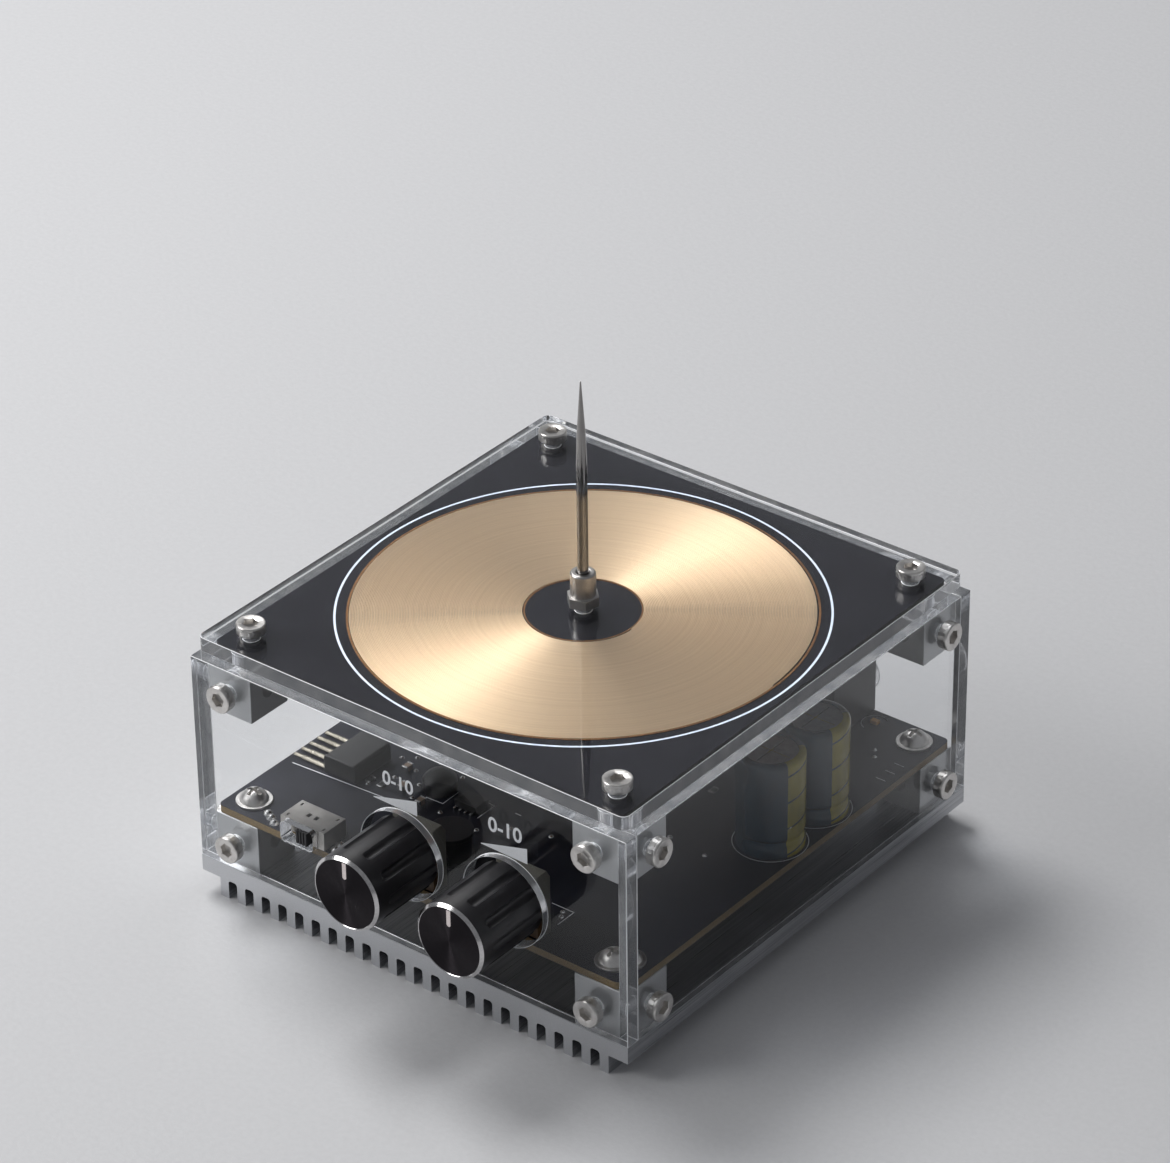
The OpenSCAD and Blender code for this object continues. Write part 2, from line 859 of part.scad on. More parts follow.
// A knob with its face at z = knob_len and its open rear end at z = 0
module knob() {
    r = knob_d / 2;
    rear_edge = 0.4;
    face_edge = 0.1;            // width of the step from the bevel down to the face
    cavity_gap = 0.1;           // gap in front of the insert's closed end
    cavity_depth = knob_back - insert_end + cavity_gap;
    difference() {
        rotate_extrude()
            polygon([[0, 0], [r - rear_edge, 0], [r, rear_edge], [r, knob_len - knob_bevel],
                [r - knob_bevel, knob_len], [r - knob_bevel - face_edge, knob_len - knob_dish],
                [0, knob_len - knob_dish]]);
        translate([0, 0, -1])
            cylinder(d = knob_cavity_d, h = cavity_depth + 1);
        for (i = [0 : flute_count - 1])
            rotate(i * 360 / flute_count)
                translate([r + flute_r - flute_depth, 0, -1])
                    cylinder(r = flute_r, h = knob_len - knob_collar + 1);
        translate([-pointer_w / 2, pointer_top - pointer_len, knob_len - knob_dish - pointer_depth])
            cube([pointer_w, pointer_len, 1]);
    }
}

module place_knob(x) {
    translate([x, knob_back, knob_z])
        face_front()
            children();
}

module knob_insert() {
    d_gap = 0.1;
    len = knob_back - insert_end;
    difference() {
        cylinder(d = knob_insert_d, h = len);
        difference() {
            translate([0, 0, -1])
                cylinder(d = bushing_bore, h = knob_shaft_depth + 1);
            translate([-pot_shaft_d, pot_shaft_d / 2 * shaft_flat + d_gap, 1])
                cube([2 * pot_shaft_d, pot_shaft_d, knob_shaft_depth]);
        }
    }
}

module power_pot_case() {
    color([0.52, 0.51, 0.47])
        pot_case(knob_x[0]);
}

module frequency_pot_case() {
    color([0.52, 0.51, 0.47])
        pot_case(knob_x[1]);
}

module power_pot_wafer() {
    color([0.45, 0.30, 0.14])
        pot_wafer(knob_x[0]);
}

module frequency_pot_wafer() {
    color([0.45, 0.30, 0.14])
        pot_wafer(knob_x[1]);
}

module power_pot_bushing() {
    color([0.70, 0.70, 0.71])
        pot_bushing(knob_x[0]);
}

module frequency_pot_bushing() {
    color([0.70, 0.70, 0.71])
        pot_bushing(knob_x[1]);
}

module power_shaft() {
    color([0.74, 0.74, 0.75])
        pot_shaft(knob_x[0]);
}

module frequency_shaft() {
    color([0.74, 0.74, 0.75])
        pot_shaft(knob_x[1]);
}

module power_knob() {
    color([0.09, 0.09, 0.10])
        place_knob(knob_x[0])
            knob();
}

module frequency_knob() {
    color([0.09, 0.09, 0.10])
        place_knob(knob_x[1])
            knob();
}

module power_knob_insert() {
    color([0.20, 0.20, 0.21])
        place_knob(knob_x[0])
            knob_insert();
}

module frequency_knob_insert() {
    color([0.20, 0.20, 0.21])
        place_knob(knob_x[1])
            knob_insert();
}

// Three pins behind each potentiometer
module pot_terminals() {
    color([0.80, 0.80, 0.80])
    for (x = knob_x, i = [-1, 0, 1])
        translate([x + i * terminal_pitch - terminal_size.x / 2, pot_back, driver_top])
            cube(terminal_size);
}

// ---------- slide switch ----------

// The folded sheet: a top, two ends, a front with the lever's slot and a rear
module switch_shell() {
    t = switch_sheet;
    mark = [0.3, 0.8];
    mark_inset = 0.9;
    dash = [0.7, 1.1];
    dash_x = 0.9;
    opening_gap = 0.1;
    opening_w = lever_w + lever_travel + 2 * lever_gap;
    opening_h = lever_h + 2 * opening_gap;
    color([0.78, 0.77, 0.75])
    translate([switch_x, switch_front, driver_top])
        difference() {
            translate([-switch_w / 2, 0, 0])
                cube([switch_w, switch_d, switch_h]);
            translate([-switch_w / 2 + t, t, -1])
                cube([switch_w - 2 * t, switch_d - 2 * t, switch_h - t + 1]);
            translate([-opening_w / 2, -1, switch_h / 2 - opening_h / 2])
                cube([opening_w, t + 2, opening_h]);
            for (i = [-1, 1], j = [0.18, 0.82])
                translate([i * (switch_w / 2 - mark_inset) - mark.x / 2, switch_d * j - mark.y / 2, switch_h - t - 1])
                    cube([mark.x, mark.y, t + 2]);
            for (i = [-1, 1])
                translate([i * dash_x - dash.x / 2, switch_d / 2 - dash.y / 2, switch_h - t - 1])
                    cube([dash.x, dash.y, t + 2]);
        }
}

// The insulating tray that closes the shell and carries the contacts
module switch_tray() {
    t = switch_sheet;
    gap = 0.05;
    color([0.25, 0.20, 0.14])
    translate([switch_x, switch_front, driver_top])
        translate([-switch_w / 2 + t + gap, t + gap, 0])
            cube([switch_w - 2 * t - 2 * gap, switch_d - 2 * t - 2 * gap, tray_h]);
}

module switch_lever() {
    t = switch_sheet;
    rib = 0.25;
    rib_pitch = lever_w * 0.26;
    play = 0.05;                // gap between the carrier and the shell and tray
    carrier_z0 = tray_h + play;
    carrier_h = switch_h - t - play - carrier_z0;
    color([0.10, 0.10, 0.11])
    translate([lever_x, switch_front, driver_top])
        difference() {
            union() {
                translate([-carrier_w / 2, t + play, carrier_z0])
                    cube([carrier_w, carrier_d, carrier_h]);
                translate([-lever_w / 2, -lever_reach, switch_h / 2 - lever_h / 2])
                    cube([lever_w, lever_reach + t + play + carrier_d, lever_h]);
            }
            translate([-lever_w, t + play, -1])
                cube([2 * lever_w, switch_d, carrier_z0 + 1]);
            for (i = [-1, 0, 1])
                translate([i * rib_pitch - rib / 2, -lever_reach - 1, -1])
                    cube([rib, 1 + rib, switch_h + 2]);
        }
}

// ---------- capacitors ----------

// Right half of a capacitor's outline: a round upper edge and a rolled-in groove
module can_outline(r, h) {
    difference() {
        union() {
            square([r, h - cap_edge_r]);
            square([r - cap_edge_r, h]);
            translate([r - cap_edge_r, h - cap_edge_r])
                intersection() {
                    circle(cap_edge_r);
                    square(cap_edge_r);
                }
        }
        translate([r + cap_groove_r - cap_groove_depth, cap_groove_z])
            circle(cap_groove_r);
    }
}

module at_capacitors() {
    for (y = cap_y)
        translate([cap_x, y, driver_top])
            children();
}

module capacitor_cans() {
    score = [can_d * 0.7, 0.3];
    score_depth = 0.2;
    can_h = cap_h - sleeve_t;
    color([0.78, 0.78, 0.80])
    at_capacitors()
        difference() {
            rotate_extrude()
                can_outline(can_d / 2, can_h);
            for (a = [0, 90])
                rotate(a)
                    translate([-score.x / 2, -score.y / 2, can_h - score_depth])
                        cube([score.x, score.y, 1]);
        }
}

module capacitor_sleeves() {
    color([0.09, 0.22, 0.28])
    at_capacitors()
        rotate_extrude()
            difference() {
                can_outline(cap_d / 2, cap_h);
                can_outline(can_d / 2 + press_gap, cap_h - sleeve_t + press_gap);
                square([cap_d / 2 - sleeve_lip, cap_h + 1]);
            }
}

// ---------- power package ----------

module power_package() {
    edge = 0.5;
    color([0.11, 0.11, 0.12])
    translate([package_x, package_y - package_w / 2, driver_top])
        rotate([90, 0, 0])
            mirror([0, 0, 1])
                linear_extrude(package_w)
                    polygon([[0, 0], [package_d, 0], [package_d, package_h - edge],
                        [package_d - edge, package_h], [edge, package_h], [0, package_h - edge]]);
}

// Five stout leads that lie on the board, each with a shoulder before its tip
module package_leads() {
    tip_len = lead_len * 0.35;
    tip_w = lead_w * 0.7;
    tip_t = lead_t * 0.8;
    color([0.85, 0.83, 0.79])
    for (i = [-2 : 2])
        translate([package_x, package_y + i * lead_pitch, driver_top]) {
            translate([-(lead_len - tip_len), -lead_w / 2, 0])
                cube([lead_len - tip_len, lead_w, lead_t]);
            translate([-lead_len, -tip_w / 2, 0])
                cube([tip_len + step, tip_w, tip_t]);
        }
}

// ---------- power jack ----------

module power_jack() {
    nose_len = wall_t;
    bore_back = case_d / 2 - jack_bore_depth;
    color([0.07, 0.07, 0.08])
    difference() {
        union() {
            translate([jack_x - jack_w / 2, rear_inner - jack_d, driver_top])
                cube([jack_w, jack_d, jack_h]);
            translate([jack_x, rear_inner - step, jack_z])
                rotate([-90, 0, 0])
                    cylinder(d = jack_nose_d, h = nose_len + step);
        }
        translate([jack_x, bore_back, jack_z])
            rotate([-90, 0, 0])
                cylinder(d = jack_bore_d, h = jack_bore_depth + 1);
    }
}

module jack_pin() {
    bore_back = case_d / 2 - jack_bore_depth;
    tip = 0.5;
    mouth_gap = 1;
    len = jack_bore_depth - mouth_gap;
    color([0.80, 0.80, 0.80])
    translate([jack_x, bore_back, jack_z])
        rotate([-90, 0, 0])
            rotate_extrude()
                polygon([[0, 0], [jack_pin_d / 2, 0], [jack_pin_d / 2, len - tip],
                    [jack_pin_d / 2 - tip, len], [0, len]]);
}

// ---------- small board parts ----------

// Puts a part on the driver board, measured from its left edge and its front edge
module from_front_left(place) {
    translate([board_left + place.x, board_front + place.y, driver_top])
        children();
}

module dome_inductor() {
    crown_h = dome_h * 0.45;
    dome_r = (pow(dome_d / 2, 2) + pow(crown_h, 2)) / (2 * crown_h);
    color([0.13, 0.13, 0.14])
    from_front_left(dome_place)
        intersection() {
            cylinder(d = dome_d, h = dome_h);
            translate([0, 0, dome_h - dome_r])
                sphere(dome_r);
        }
}

// A bobbin with two flanges
module drum_choke() {
    flange = 0.8;
    waist = 0.35;
    color([0.10, 0.10, 0.11])
    translate([choke.x, choke.y, driver_top])
        rotate_extrude()
            polygon([[0, 0], [choke_d / 2, 0], [choke_d / 2, flange], [choke_d / 2 - waist, flange],
                [choke_d / 2 - waist, choke_h - flange], [choke_d / 2, choke_h - flange],
                [choke_d / 2, choke_h], [0, choke_h]]);
}

module driver_chip() {
    standoff = 0.1;
    color([0.12, 0.12, 0.12])
    from_front_left(chip_place)
        translate([-chip_size.x / 2, -chip_size.y / 2, standoff])
            cube(chip_size);
}

module chip_pins() {
    pin = chip_pin_size;
    color([0.80, 0.80, 0.80])
    from_front_left(chip_place)
        for (i = [-1.5 : 1.5], j = [-1, 1])
            translate([i * chip_pin_pitch - pin.x / 2, j * (chip_size.y + pin.y) / 2 - pin.y / 2, 0])
                cube(pin);
}

module small_capacitors() {
    color([0.55, 0.43, 0.32])
    for (p = small_cap_places)
        from_front_left(p)
            translate([-small_cap_size.x / 2, -small_cap_size.y / 2, 0])
                cube(small_cap_size);
}

module chip_resistors() {
    color([0.15, 0.15, 0.16])
    for (p = resistor_places)
        from_front_left(p)
            translate([-resistor_size.x / 2, -resistor_size.y / 2, 0])
                cube(resistor_size);
}

module status_led() {
    color([0.92, 0.62, 0.25])
    translate([board_right - led_place.x - led_size.x / 2, board_rear - led_place.y - led_size.y / 2, driver_top])
        cube(led_size);
}

// ---------- transistors ----------

module at_transistors() {
    for (i = [-1, 1])
        translate([i * transistor_x, transistor_y, base_top])
            children();
}

module transistor_pads() {
    color([0.75, 0.77, 0.80])
    at_transistors()
        translate([-tab_size.x / 2, 0, 0])
            difference() {
                cube([tab_size.x, tab_size.y, pad_t]);
                translate([tab_size.x / 2, tab_size.y - tab_screw_y, -1])
                    cylinder(d = clear_hole, h = pad_t + 2);
            }
}

module transistor_tabs() {
    color([0.72, 0.73, 0.75])
    at_transistors()
        translate([-tab_size.x / 2, 0, pad_t])
            difference() {
                cube(tab_size);
                translate([tab_size.x / 2, tab_size.y - tab_screw_y, -1])
                    cylinder(d = clear_hole, h = tab_size.z + 2);
            }
}

// The moulded bodies with their legs, bent up to the driver board
module transistors() {
    body_h = transistor_size.z - tab_size.z;
    leg_z = pad_t + tab_size.z + 1;
    color([0.12, 0.12, 0.13])
    at_transistors() {
        translate([-transistor_size.x / 2, 0, pad_t + tab_size.z])
            cube([transistor_size.x, transistor_size.y, body_h]);
        for (i = [-1, 0, 1])
            translate([i * leg_pitch - leg_w / 2, 0, leg_z]) {
                translate([0, -leg_out, 0])
                    cube([leg_w, leg_out + step, leg_t]);
                translate([0, -leg_out, 0])
                    cube([leg_w, leg_t, corner_cube - leg_z]);
            }
    }
}

module transistor_screws() {
    color([0.78, 0.76, 0.73])
    at_transistors()
        translate([0, tab_size.y - tab_screw_y, pad_t + tab_size.z])
            pan_screw(tab_screw_len);
}

// ---------- the sub-parts ----------

heat_sink();
front_wall();
rear_wall();
left_wall();
right_wall();
lid();
lower_cubes();
upper_cubes();
lid_screws();
front_wall_screws();
rear_wall_screws();
left_wall_screws();
right_wall_screws();
base_screws();
coil_board();
secondary_coil();
primary_coil();
coil_posts();
needle_socket();
socket_nut();
discharge_needle();
driver_board();
board_screws();
board_washers();
board_solder();
power_pot_case();
power_pot_wafer();
power_pot_bushing();
power_shaft();
power_knob();
power_knob_insert();
frequency_pot_case();
frequency_pot_wafer();
frequency_pot_bushing();
frequency_shaft();
frequency_knob();
frequency_knob_insert();
pot_terminals();
switch_shell();
switch_tray();
switch_lever();
capacitor_cans();
capacitor_sleeves();
power_package();
package_leads();
power_jack();
jack_pin();
dome_inductor();
drum_choke();
driver_chip();
chip_pins();
small_capacitors();
chip_resistors();
status_led();
transistors();
transistor_tabs();
transistor_pads();
transistor_screws();
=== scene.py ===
# %% [markdown]
# # Dressing a desktop resonant transformer
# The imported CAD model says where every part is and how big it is. This lesson adds what CAD leaves
# out: eased edges, threads, brushed grain, printed marks, light and a camera. Everything is in metres
# in the CAD model's own frame, with +Z up along the needle and -Y towards the side with the knobs.

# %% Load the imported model
import math
from functools import partial

import bmesh
import bpy
from mathutils import Matrix, Vector


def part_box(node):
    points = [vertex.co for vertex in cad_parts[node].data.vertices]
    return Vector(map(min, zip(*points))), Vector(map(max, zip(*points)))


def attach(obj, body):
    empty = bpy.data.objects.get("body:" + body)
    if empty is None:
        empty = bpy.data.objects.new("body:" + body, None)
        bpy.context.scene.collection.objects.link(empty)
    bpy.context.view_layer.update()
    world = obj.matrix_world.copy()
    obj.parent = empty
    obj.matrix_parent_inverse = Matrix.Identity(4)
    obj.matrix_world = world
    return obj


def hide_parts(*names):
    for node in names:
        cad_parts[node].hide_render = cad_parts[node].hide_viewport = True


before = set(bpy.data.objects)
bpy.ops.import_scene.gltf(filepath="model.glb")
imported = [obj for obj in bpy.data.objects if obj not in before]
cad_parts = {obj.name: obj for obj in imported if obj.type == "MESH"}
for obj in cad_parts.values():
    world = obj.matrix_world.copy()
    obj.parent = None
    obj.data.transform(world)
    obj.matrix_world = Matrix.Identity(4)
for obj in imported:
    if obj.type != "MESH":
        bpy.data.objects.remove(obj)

scene = bpy.context.scene
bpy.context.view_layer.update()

# %% [markdown]
# ## Camera
# A product picture of a small box is taken from well back with a long lens, so that its edges stay
# nearly parallel. The camera is aimed by an azimuth and an elevation round a target on the needle's
# axis, with the small roll of a hand-held camera. It comes first, so that each piece can be judged
# against the picture as soon as it exists.

# %% Camera
MM = 0.001


def mm(x, y, z):
    """A place in millimetres, as a vector in metres."""
    return Vector((x * MM, y * MM, z * MM))


TARGET = mm(0, 0, 55)
DISTANCE = 0.9292
AZIMUTH, ELEVATION, ROLL = math.radians(38.5), math.radians(31.66), math.radians(-0.76)
level_back = Vector((math.sin(AZIMUTH), -math.cos(AZIMUTH), 0.0))
back = level_back * math.cos(ELEVATION) + Vector((0.0, 0.0, math.sin(ELEVATION)))
right = Vector((math.cos(AZIMUTH), math.sin(AZIMUTH), 0.0))
up = back.cross(right)
camera_x = right * math.cos(ROLL) + up * math.sin(ROLL)
camera_y = up * math.cos(ROLL) - right * math.sin(ROLL)
camera = bpy.data.objects.new("camera", bpy.data.cameras.new("camera"))
camera.data.lens = 156.6
camera.data.sensor_width = 36.0
camera.data.shift_x = 0.0014
camera.data.shift_y = 0.0191
camera.data.clip_start = 0.05
camera.data.clip_end = 20.0
aim = Matrix((camera_x, camera_y, back)).transposed().to_4x4()
camera.matrix_world = Matrix.Translation(TARGET + back * DISTANCE) @ aim
scene.collection.objects.link(camera)
scene.camera = camera
print("camera", [round(v, 4) for v in camera.matrix_world.translation])

# %% [markdown]
# ## Finishes
# A real finish is a colour plus small differences in it: grain, haze, tool marks. Each material below
# is one shader whose constant values are written on its own sockets, and whose pattern comes from
# noise in Object coordinates. The CAD frame puts every object at the origin, so Object coordinates
# are places on the model, and here they are counted in millimetres. Noise seldom leaves the middle of
# its range, so every pattern is spread from that middle part.

# %% Tools for materials
NOISE_LOW, NOISE_HIGH = 0.3, 0.7
NOISE_ROUGHNESS = 0.55


def finish(name, colour, rough, metal=0.0, **sockets):
    """A material with one shader and plain values on its sockets."""
    material = bpy.data.materials.new(name)
    material.use_nodes = True
    shader = material.node_tree.nodes["Principled BSDF"]
    shader.inputs["Base Color"].default_value = (*colour, 1.0)
    shader.inputs["Roughness"].default_value = rough
    shader.inputs["Metallic"].default_value = metal
    for label, value in sockets.items():
        shader.inputs[label.replace("_", " ")].default_value = value
    return material


def wire(owner, value, socket):
    """Feeds a socket: from an output, from a node's first output, or with a plain value."""
    if isinstance(value, bpy.types.Node):
        value = value.outputs[0]
    if isinstance(value, bpy.types.NodeSocket):
        getattr(owner, "node_tree", owner).links.new(value, socket)
    else:
        socket.default_value = value


def add(owner, kind, feed=None, **settings):
    """A new node in a material or a tree, with its settings and what feeds its sockets."""
    node = getattr(owner, "node_tree", owner).nodes.new(kind)
    for label, value in settings.items():
        setattr(node, label, value)
    for socket, value in (feed or {}).items():
        wire(owner, value, node.inputs[socket])
    return node


def into(material, label):
    """A socket of the material's shader."""
    return material.node_tree.nodes["Principled BSDF"].inputs[label]


def calc(owner, operation, a, b=None):
    """A Math node on sockets or plain numbers; gives its output socket."""
    feed = {0: a} if b is None else {0: a, 1: b}
    return add(owner, "ShaderNodeMath", feed, operation=operation).outputs[0]


def sums(owner):
    """Short ways to add, subtract, multiply and divide in one material or tree."""
    return [partial(calc, owner, operation) for operation in ("ADD", "SUBTRACT", "MULTIPLY", "DIVIDE")]


def grain(material, size, stretch=(1.0, 1.0, 1.0), detail=3.0):
    """Noise whose features are `size` millimetres across, times `stretch` along each axis."""
    place = add(material, "ShaderNodeTexCoord").outputs["Object"]
    scales = [1.0 / (MM * size * s) for s in stretch]
    scaled = add(material, "ShaderNodeMapping", {"Vector": place, "Scale": scales})
    feed = {"Vector": scaled, "Scale": 1.0, "Detail": detail, "Roughness": NOISE_ROUGHNESS}
    return add(material, "ShaderNodeTexNoise", feed).outputs["Fac"]


def blend_colour(material, pattern, dark, light):
    """A colour that goes from dark to light as the pattern rises."""
    ramp = add(material, "ShaderNodeValToRGB", {"Fac": pattern})
    for stop, at, colour in zip(ramp.color_ramp.elements, (NOISE_LOW, NOISE_HIGH), (dark, light)):
        stop.position = at
        stop.color = (*colour, 1.0)
    return ramp.outputs["Color"]


def tint(material, pattern, dark, light):
    """Colours the surface from dark to light by a pattern."""
    wire(material, blend_colour(material, pattern, dark, light), into(material, "Base Color"))


def haze(material, pattern, low, high):
    """Lets the roughness follow a pattern."""
    feed = {"Value": pattern, "From Min": NOISE_LOW, "From Max": NOISE_HIGH, "To Min": low, "To Max": high}
    wire(material, add(material, "ShaderNodeMapRange", feed), into(material, "Roughness"))


def relief(material, pattern, height):
    """Raises the surface by a pattern, `height` millimetres at most."""
    feed = {"Strength": 1.0, "Distance": height * MM, "Height": pattern}
    wire(material, add(material, "ShaderNodeBump", feed), into(material, "Normal"))


def worked(name, dark, light, rough, size, height, metal=0.0, stretch=(1.0, 1.0, 1.0), **sockets):
    """The usual finish: one grain that drives colour, roughness and, on a rough surface, relief."""
    material = finish(name, light, rough[1], metal, **sockets)
    pattern = grain(material, size, stretch)
    tint(material, pattern, dark, light)
    haze(material, pattern, *rough)
    if height:
        relief(material, pattern, height)
    return material


print("material tools ready")

# %% [markdown]
# ## Floor and light
# A pale floor that runs to the horizon is the whole background. The light is a large soft panel above
# and to the left, which draws the two bright fans on the brushed disc, a weaker panel in front, and a
# dim even world. The fans of a disc brushed in circles lie where lamp and camera are mirror images
# across a radius, so both panels stand where that radius is the same. Clear plastic lets their shadow
# rays through, so they are hidden from bent rays: otherwise their light would be counted twice.

# %% Floor
def mesh_of(bm, name):
    """A new mesh from a bmesh, which is freed."""
    mesh = bpy.data.meshes.new(name)
    bm.to_mesh(mesh)
    bm.free()
    return mesh


floor_bm = bmesh.new()
bmesh.ops.create_grid(floor_bm, x_segments=8, y_segments=8, size=6.0)
floor_mesh = mesh_of(floor_bm, "floor")
floor = bpy.data.objects.new("floor", floor_mesh)
scene.collection.objects.link(floor)
floor_finish = finish("pale_floor", (0.62, 0.62, 0.63), 0.6)
floor_grain = grain(floor_finish, 1.2, detail=4.0)
tint(floor_finish, floor_grain, (0.605, 0.605, 0.615), (0.635, 0.635, 0.645))
relief(floor_finish, floor_grain, 0.05)
floor_mesh.materials.append(floor_finish)


# %% Light
LAMP_AIM = mm(0, 0, 30)
LAMP_SIZE = 0.5


def panel(name, direction, distance, level):
    """A square soft light that gives a level white card `level` of its own value."""
    light = bpy.data.lights.new(name, "AREA")
    light.shape = "SQUARE"
    light.size = LAMP_SIZE
    toward = Vector(direction).normalized()
    light.energy = level * math.pi * math.pi * distance**2 / max(toward.z, 0.2)
    lamp = bpy.data.objects.new(name, light)
    lamp.location = LAMP_AIM + toward * distance
    lamp.rotation_euler = toward.to_track_quat("Z", "Y").to_euler()
    lamp.visible_transmission = False
    scene.collection.objects.link(lamp)
    print(name, round(light.energy, 2), "W")


panel("key_panel", (-0.57, 0.21, 0.79), 1.2, 0.53)
panel("front_panel", (-0.63, -0.53, 0.565), 1.1, 0.22)
world = bpy.data.worlds.new("studio")
world.use_nodes = True
world.node_tree.nodes["Background"].inputs["Color"].default_value = (0.93, 0.95, 1.0, 1.0)
world.node_tree.nodes["Background"].inputs["Strength"].default_value = 0.21
scene.world = world
scene.view_settings.view_transform = "Standard"

# %% [markdown]
# ## Tools for pieces
# Three ways make almost everything here. `eased` copies a CAD node, merges its loose triangles and
# rounds its sharp edges, for parts that were cut or moulded. `loft` joins rings of points, for turned
# parts. Geometry Nodes set out what repeats.

# %% Tools for meshes
EDGE_ANGLE = 35.0


def plain(holder):
    """The evaluated mesh of an object with live modifiers; the object itself is removed."""
    scene.collection.objects.link(holder)
    bpy.context.view_layer.update()
    evaluated = holder.evaluated_get(bpy.context.evaluated_depsgraph_get())
    mesh = bpy.data.meshes.new_from_object(evaluated)
    mesh.name = holder.name
    bpy.data.objects.remove(holder)
    return mesh


def merged(node):
    """A CAD node's mesh with its doubles merged and its flat faces joined."""
    bm = bmesh.new()
    bm.from_mesh(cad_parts[node].data)
    bmesh.ops.remove_doubles(bm, verts=bm.verts[:], dist=1e-6)
    bmesh.ops.dissolve_limit(bm, angle_limit=math.radians(1.0), verts=bm.verts[:], edges=bm.edges[:])
    return bm


def smooth(mesh, sharp):
    """Shades the mesh smooth except across edges sharper than `sharp` degrees."""
    for face in mesh.polygons:
        face.use_smooth = True
    mesh.set_sharp_from_angle(angle=math.radians(sharp))


def rounded(name, mesh, edge):
    """The mesh with its sharp edges rounded to `edge` millimetres."""
    holder = bpy.data.objects.new(name, mesh)
    if edge > 0:
        bevel = holder.modifiers.new("round", "BEVEL")
        bevel.width = edge * MM
        bevel.segments = 2
        bevel.limit_method = "ANGLE"
        bevel.angle_limit = math.radians(EDGE_ANGLE)
        bevel.harden_normals = True
    smooth(mesh, EDGE_ANGLE)
    weighted = holder.modifiers.new("flat_faces", "WEIGHTED_NORMAL")
    weighted.keep_sharp = True
    return plain(holder)


def eased(node, edge, shrink=0.0):
    """A copy of a CAD node with rounded edges, drawn in by `shrink` millimetres on each side."""
    bm = merged(node)
    if shrink:
        low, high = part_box(node)
        middle = (low + high) / 2
        for vertex in bm.verts:
            for i in range(3):
                span = high[i] - low[i]
                vertex.co[i] = middle[i] + (vertex.co[i] - middle[i]) * (1 - 2 * shrink * MM / span)
    return rounded(node + "_eased", mesh_of(bm, node), edge)


def solids(node):
    """The lowest and highest corner of each separate solid in a CAD node."""
    bm = merged(node)
    boxes, seen = [], set()
    for start in bm.verts:
        if start in seen:
            continue
        group, todo = [], [start]
        seen.add(start)
        while todo:
            vertex = todo.pop()
            group.append(vertex.co.copy())
            for edge in vertex.link_edges:
                other = edge.other_vert(vertex)
                if other not in seen:
                    seen.add(other)
                    todo.append(other)
        low = Vector(min(c[i] for c in group) for i in range(3))
        high = Vector(max(c[i] for c in group) for i in range(3))
        boxes.append((low, high))
    bm.free()
    return boxes


def feet(node):
    """The middle of the underside of each separate solid in a CAD node."""
    return [Vector(((low.x + high.x) / 2, (low.y + high.y) / 2, low.z)) for low, high in solids(node)]


def faced_out(mesh):
    """The mesh with its doubles merged and its faces turned outwards."""
    bm = bmesh.new()
    bm.from_mesh(mesh)
    bmesh.ops.remove_doubles(bm, verts=bm.verts[:], dist=1e-7)
    bmesh.ops.recalc_face_normals(bm, faces=bm.faces[:])
    bm.to_mesh(mesh)
    bm.free()
    return mesh


def shell(name, points, faces):
    """A mesh from points and faces, turned outwards."""
    mesh = bpy.data.meshes.new(name)
    mesh.from_pydata(points, [], faces)
    return faced_out(mesh)


def loft(name, rings, sharp=40.0, around_uv=False):
    """A closed mesh over rings of points, with a flat cap at each end."""
    count = len(rings[0])
    mesh = bpy.data.meshes.new(name)
    points = [p for ring in rings for p in ring]
    faces = [tuple(range(count))[::-1], tuple(range(len(points) - count, len(points)))]
    for i in range(len(rings) - 1):
        for j in range(count):
            k = (j + 1) % count
            faces.append((i * count + j, i * count + k, (i + 1) * count + k, (i + 1) * count + j))
    mesh.from_pydata(points, [], faces)
    if around_uv:
        layer = mesh.uv_layers.new(name="around")
        for face in mesh.polygons[2:]:
            row, column = divmod(face.index - 2, count)
            corners = [(column, row), (column + 1, row), (column + 1, row + 1), (column, row + 1)]
            for loop, (u, v) in zip(face.loop_indices, corners):
                layer.data[loop].uv = (u / count, rings[v][0].z / MM)
    faced_out(mesh)
    smooth(mesh, sharp)
    return mesh


def circle(radius, height, count=64):
    """A level ring of points, in millimetres."""
    turn = 2 * math.pi / count
    return [mm(radius * math.cos(turn * j), radius * math.sin(turn * j), height) for j in range(count)]


def turned(name, profile, count=64, sharp=40.0, around_uv=False):
    """A turned part from pairs of radius and height, in millimetres."""
    return loft(name, [circle(r, z, count) for r, z in profile], sharp, around_uv)


def towards_front(x, y, z):
    """Puts a part made on +Z at a place in metres, so that it points to the front, -Y."""
    return Matrix(((1, 0, 0, x), (0, 0, -1, y), (0, 1, 0, z), (0, 0, 0, 1)))


def painted(mesh, materials, choose):
    """Gives each face the material whose number `choose` returns for its middle and its normal."""
    mesh.materials.clear()
    for material in materials:
        mesh.materials.append(material)
    for face in mesh.polygons:
        face.material_index = choose(face.center, face.normal)
    return mesh


def piece(name, mesh, slot, material, *nodes, body="case"):
    """A finished object at the origin that rides on a body and stands for some CAD nodes."""
    obj = bpy.data.objects.new(name, mesh)
    scene.collection.objects.link(obj)
    if material is not None:
        mesh.materials.clear()
        mesh.materials.append(material)
    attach(obj, body)
    if nodes:
        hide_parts(*nodes)
    print(name, len(mesh.polygons), "faces")
    return obj


# %% [markdown]
# ### Tools for Geometry Nodes
# A tree is built in the script, one node at a time. Its sizes are named inputs of the group, so the
# same tree can be used again with other numbers. A modifier keeps each input under the socket's
# identifier, so `grown` looks that up by the readable name.

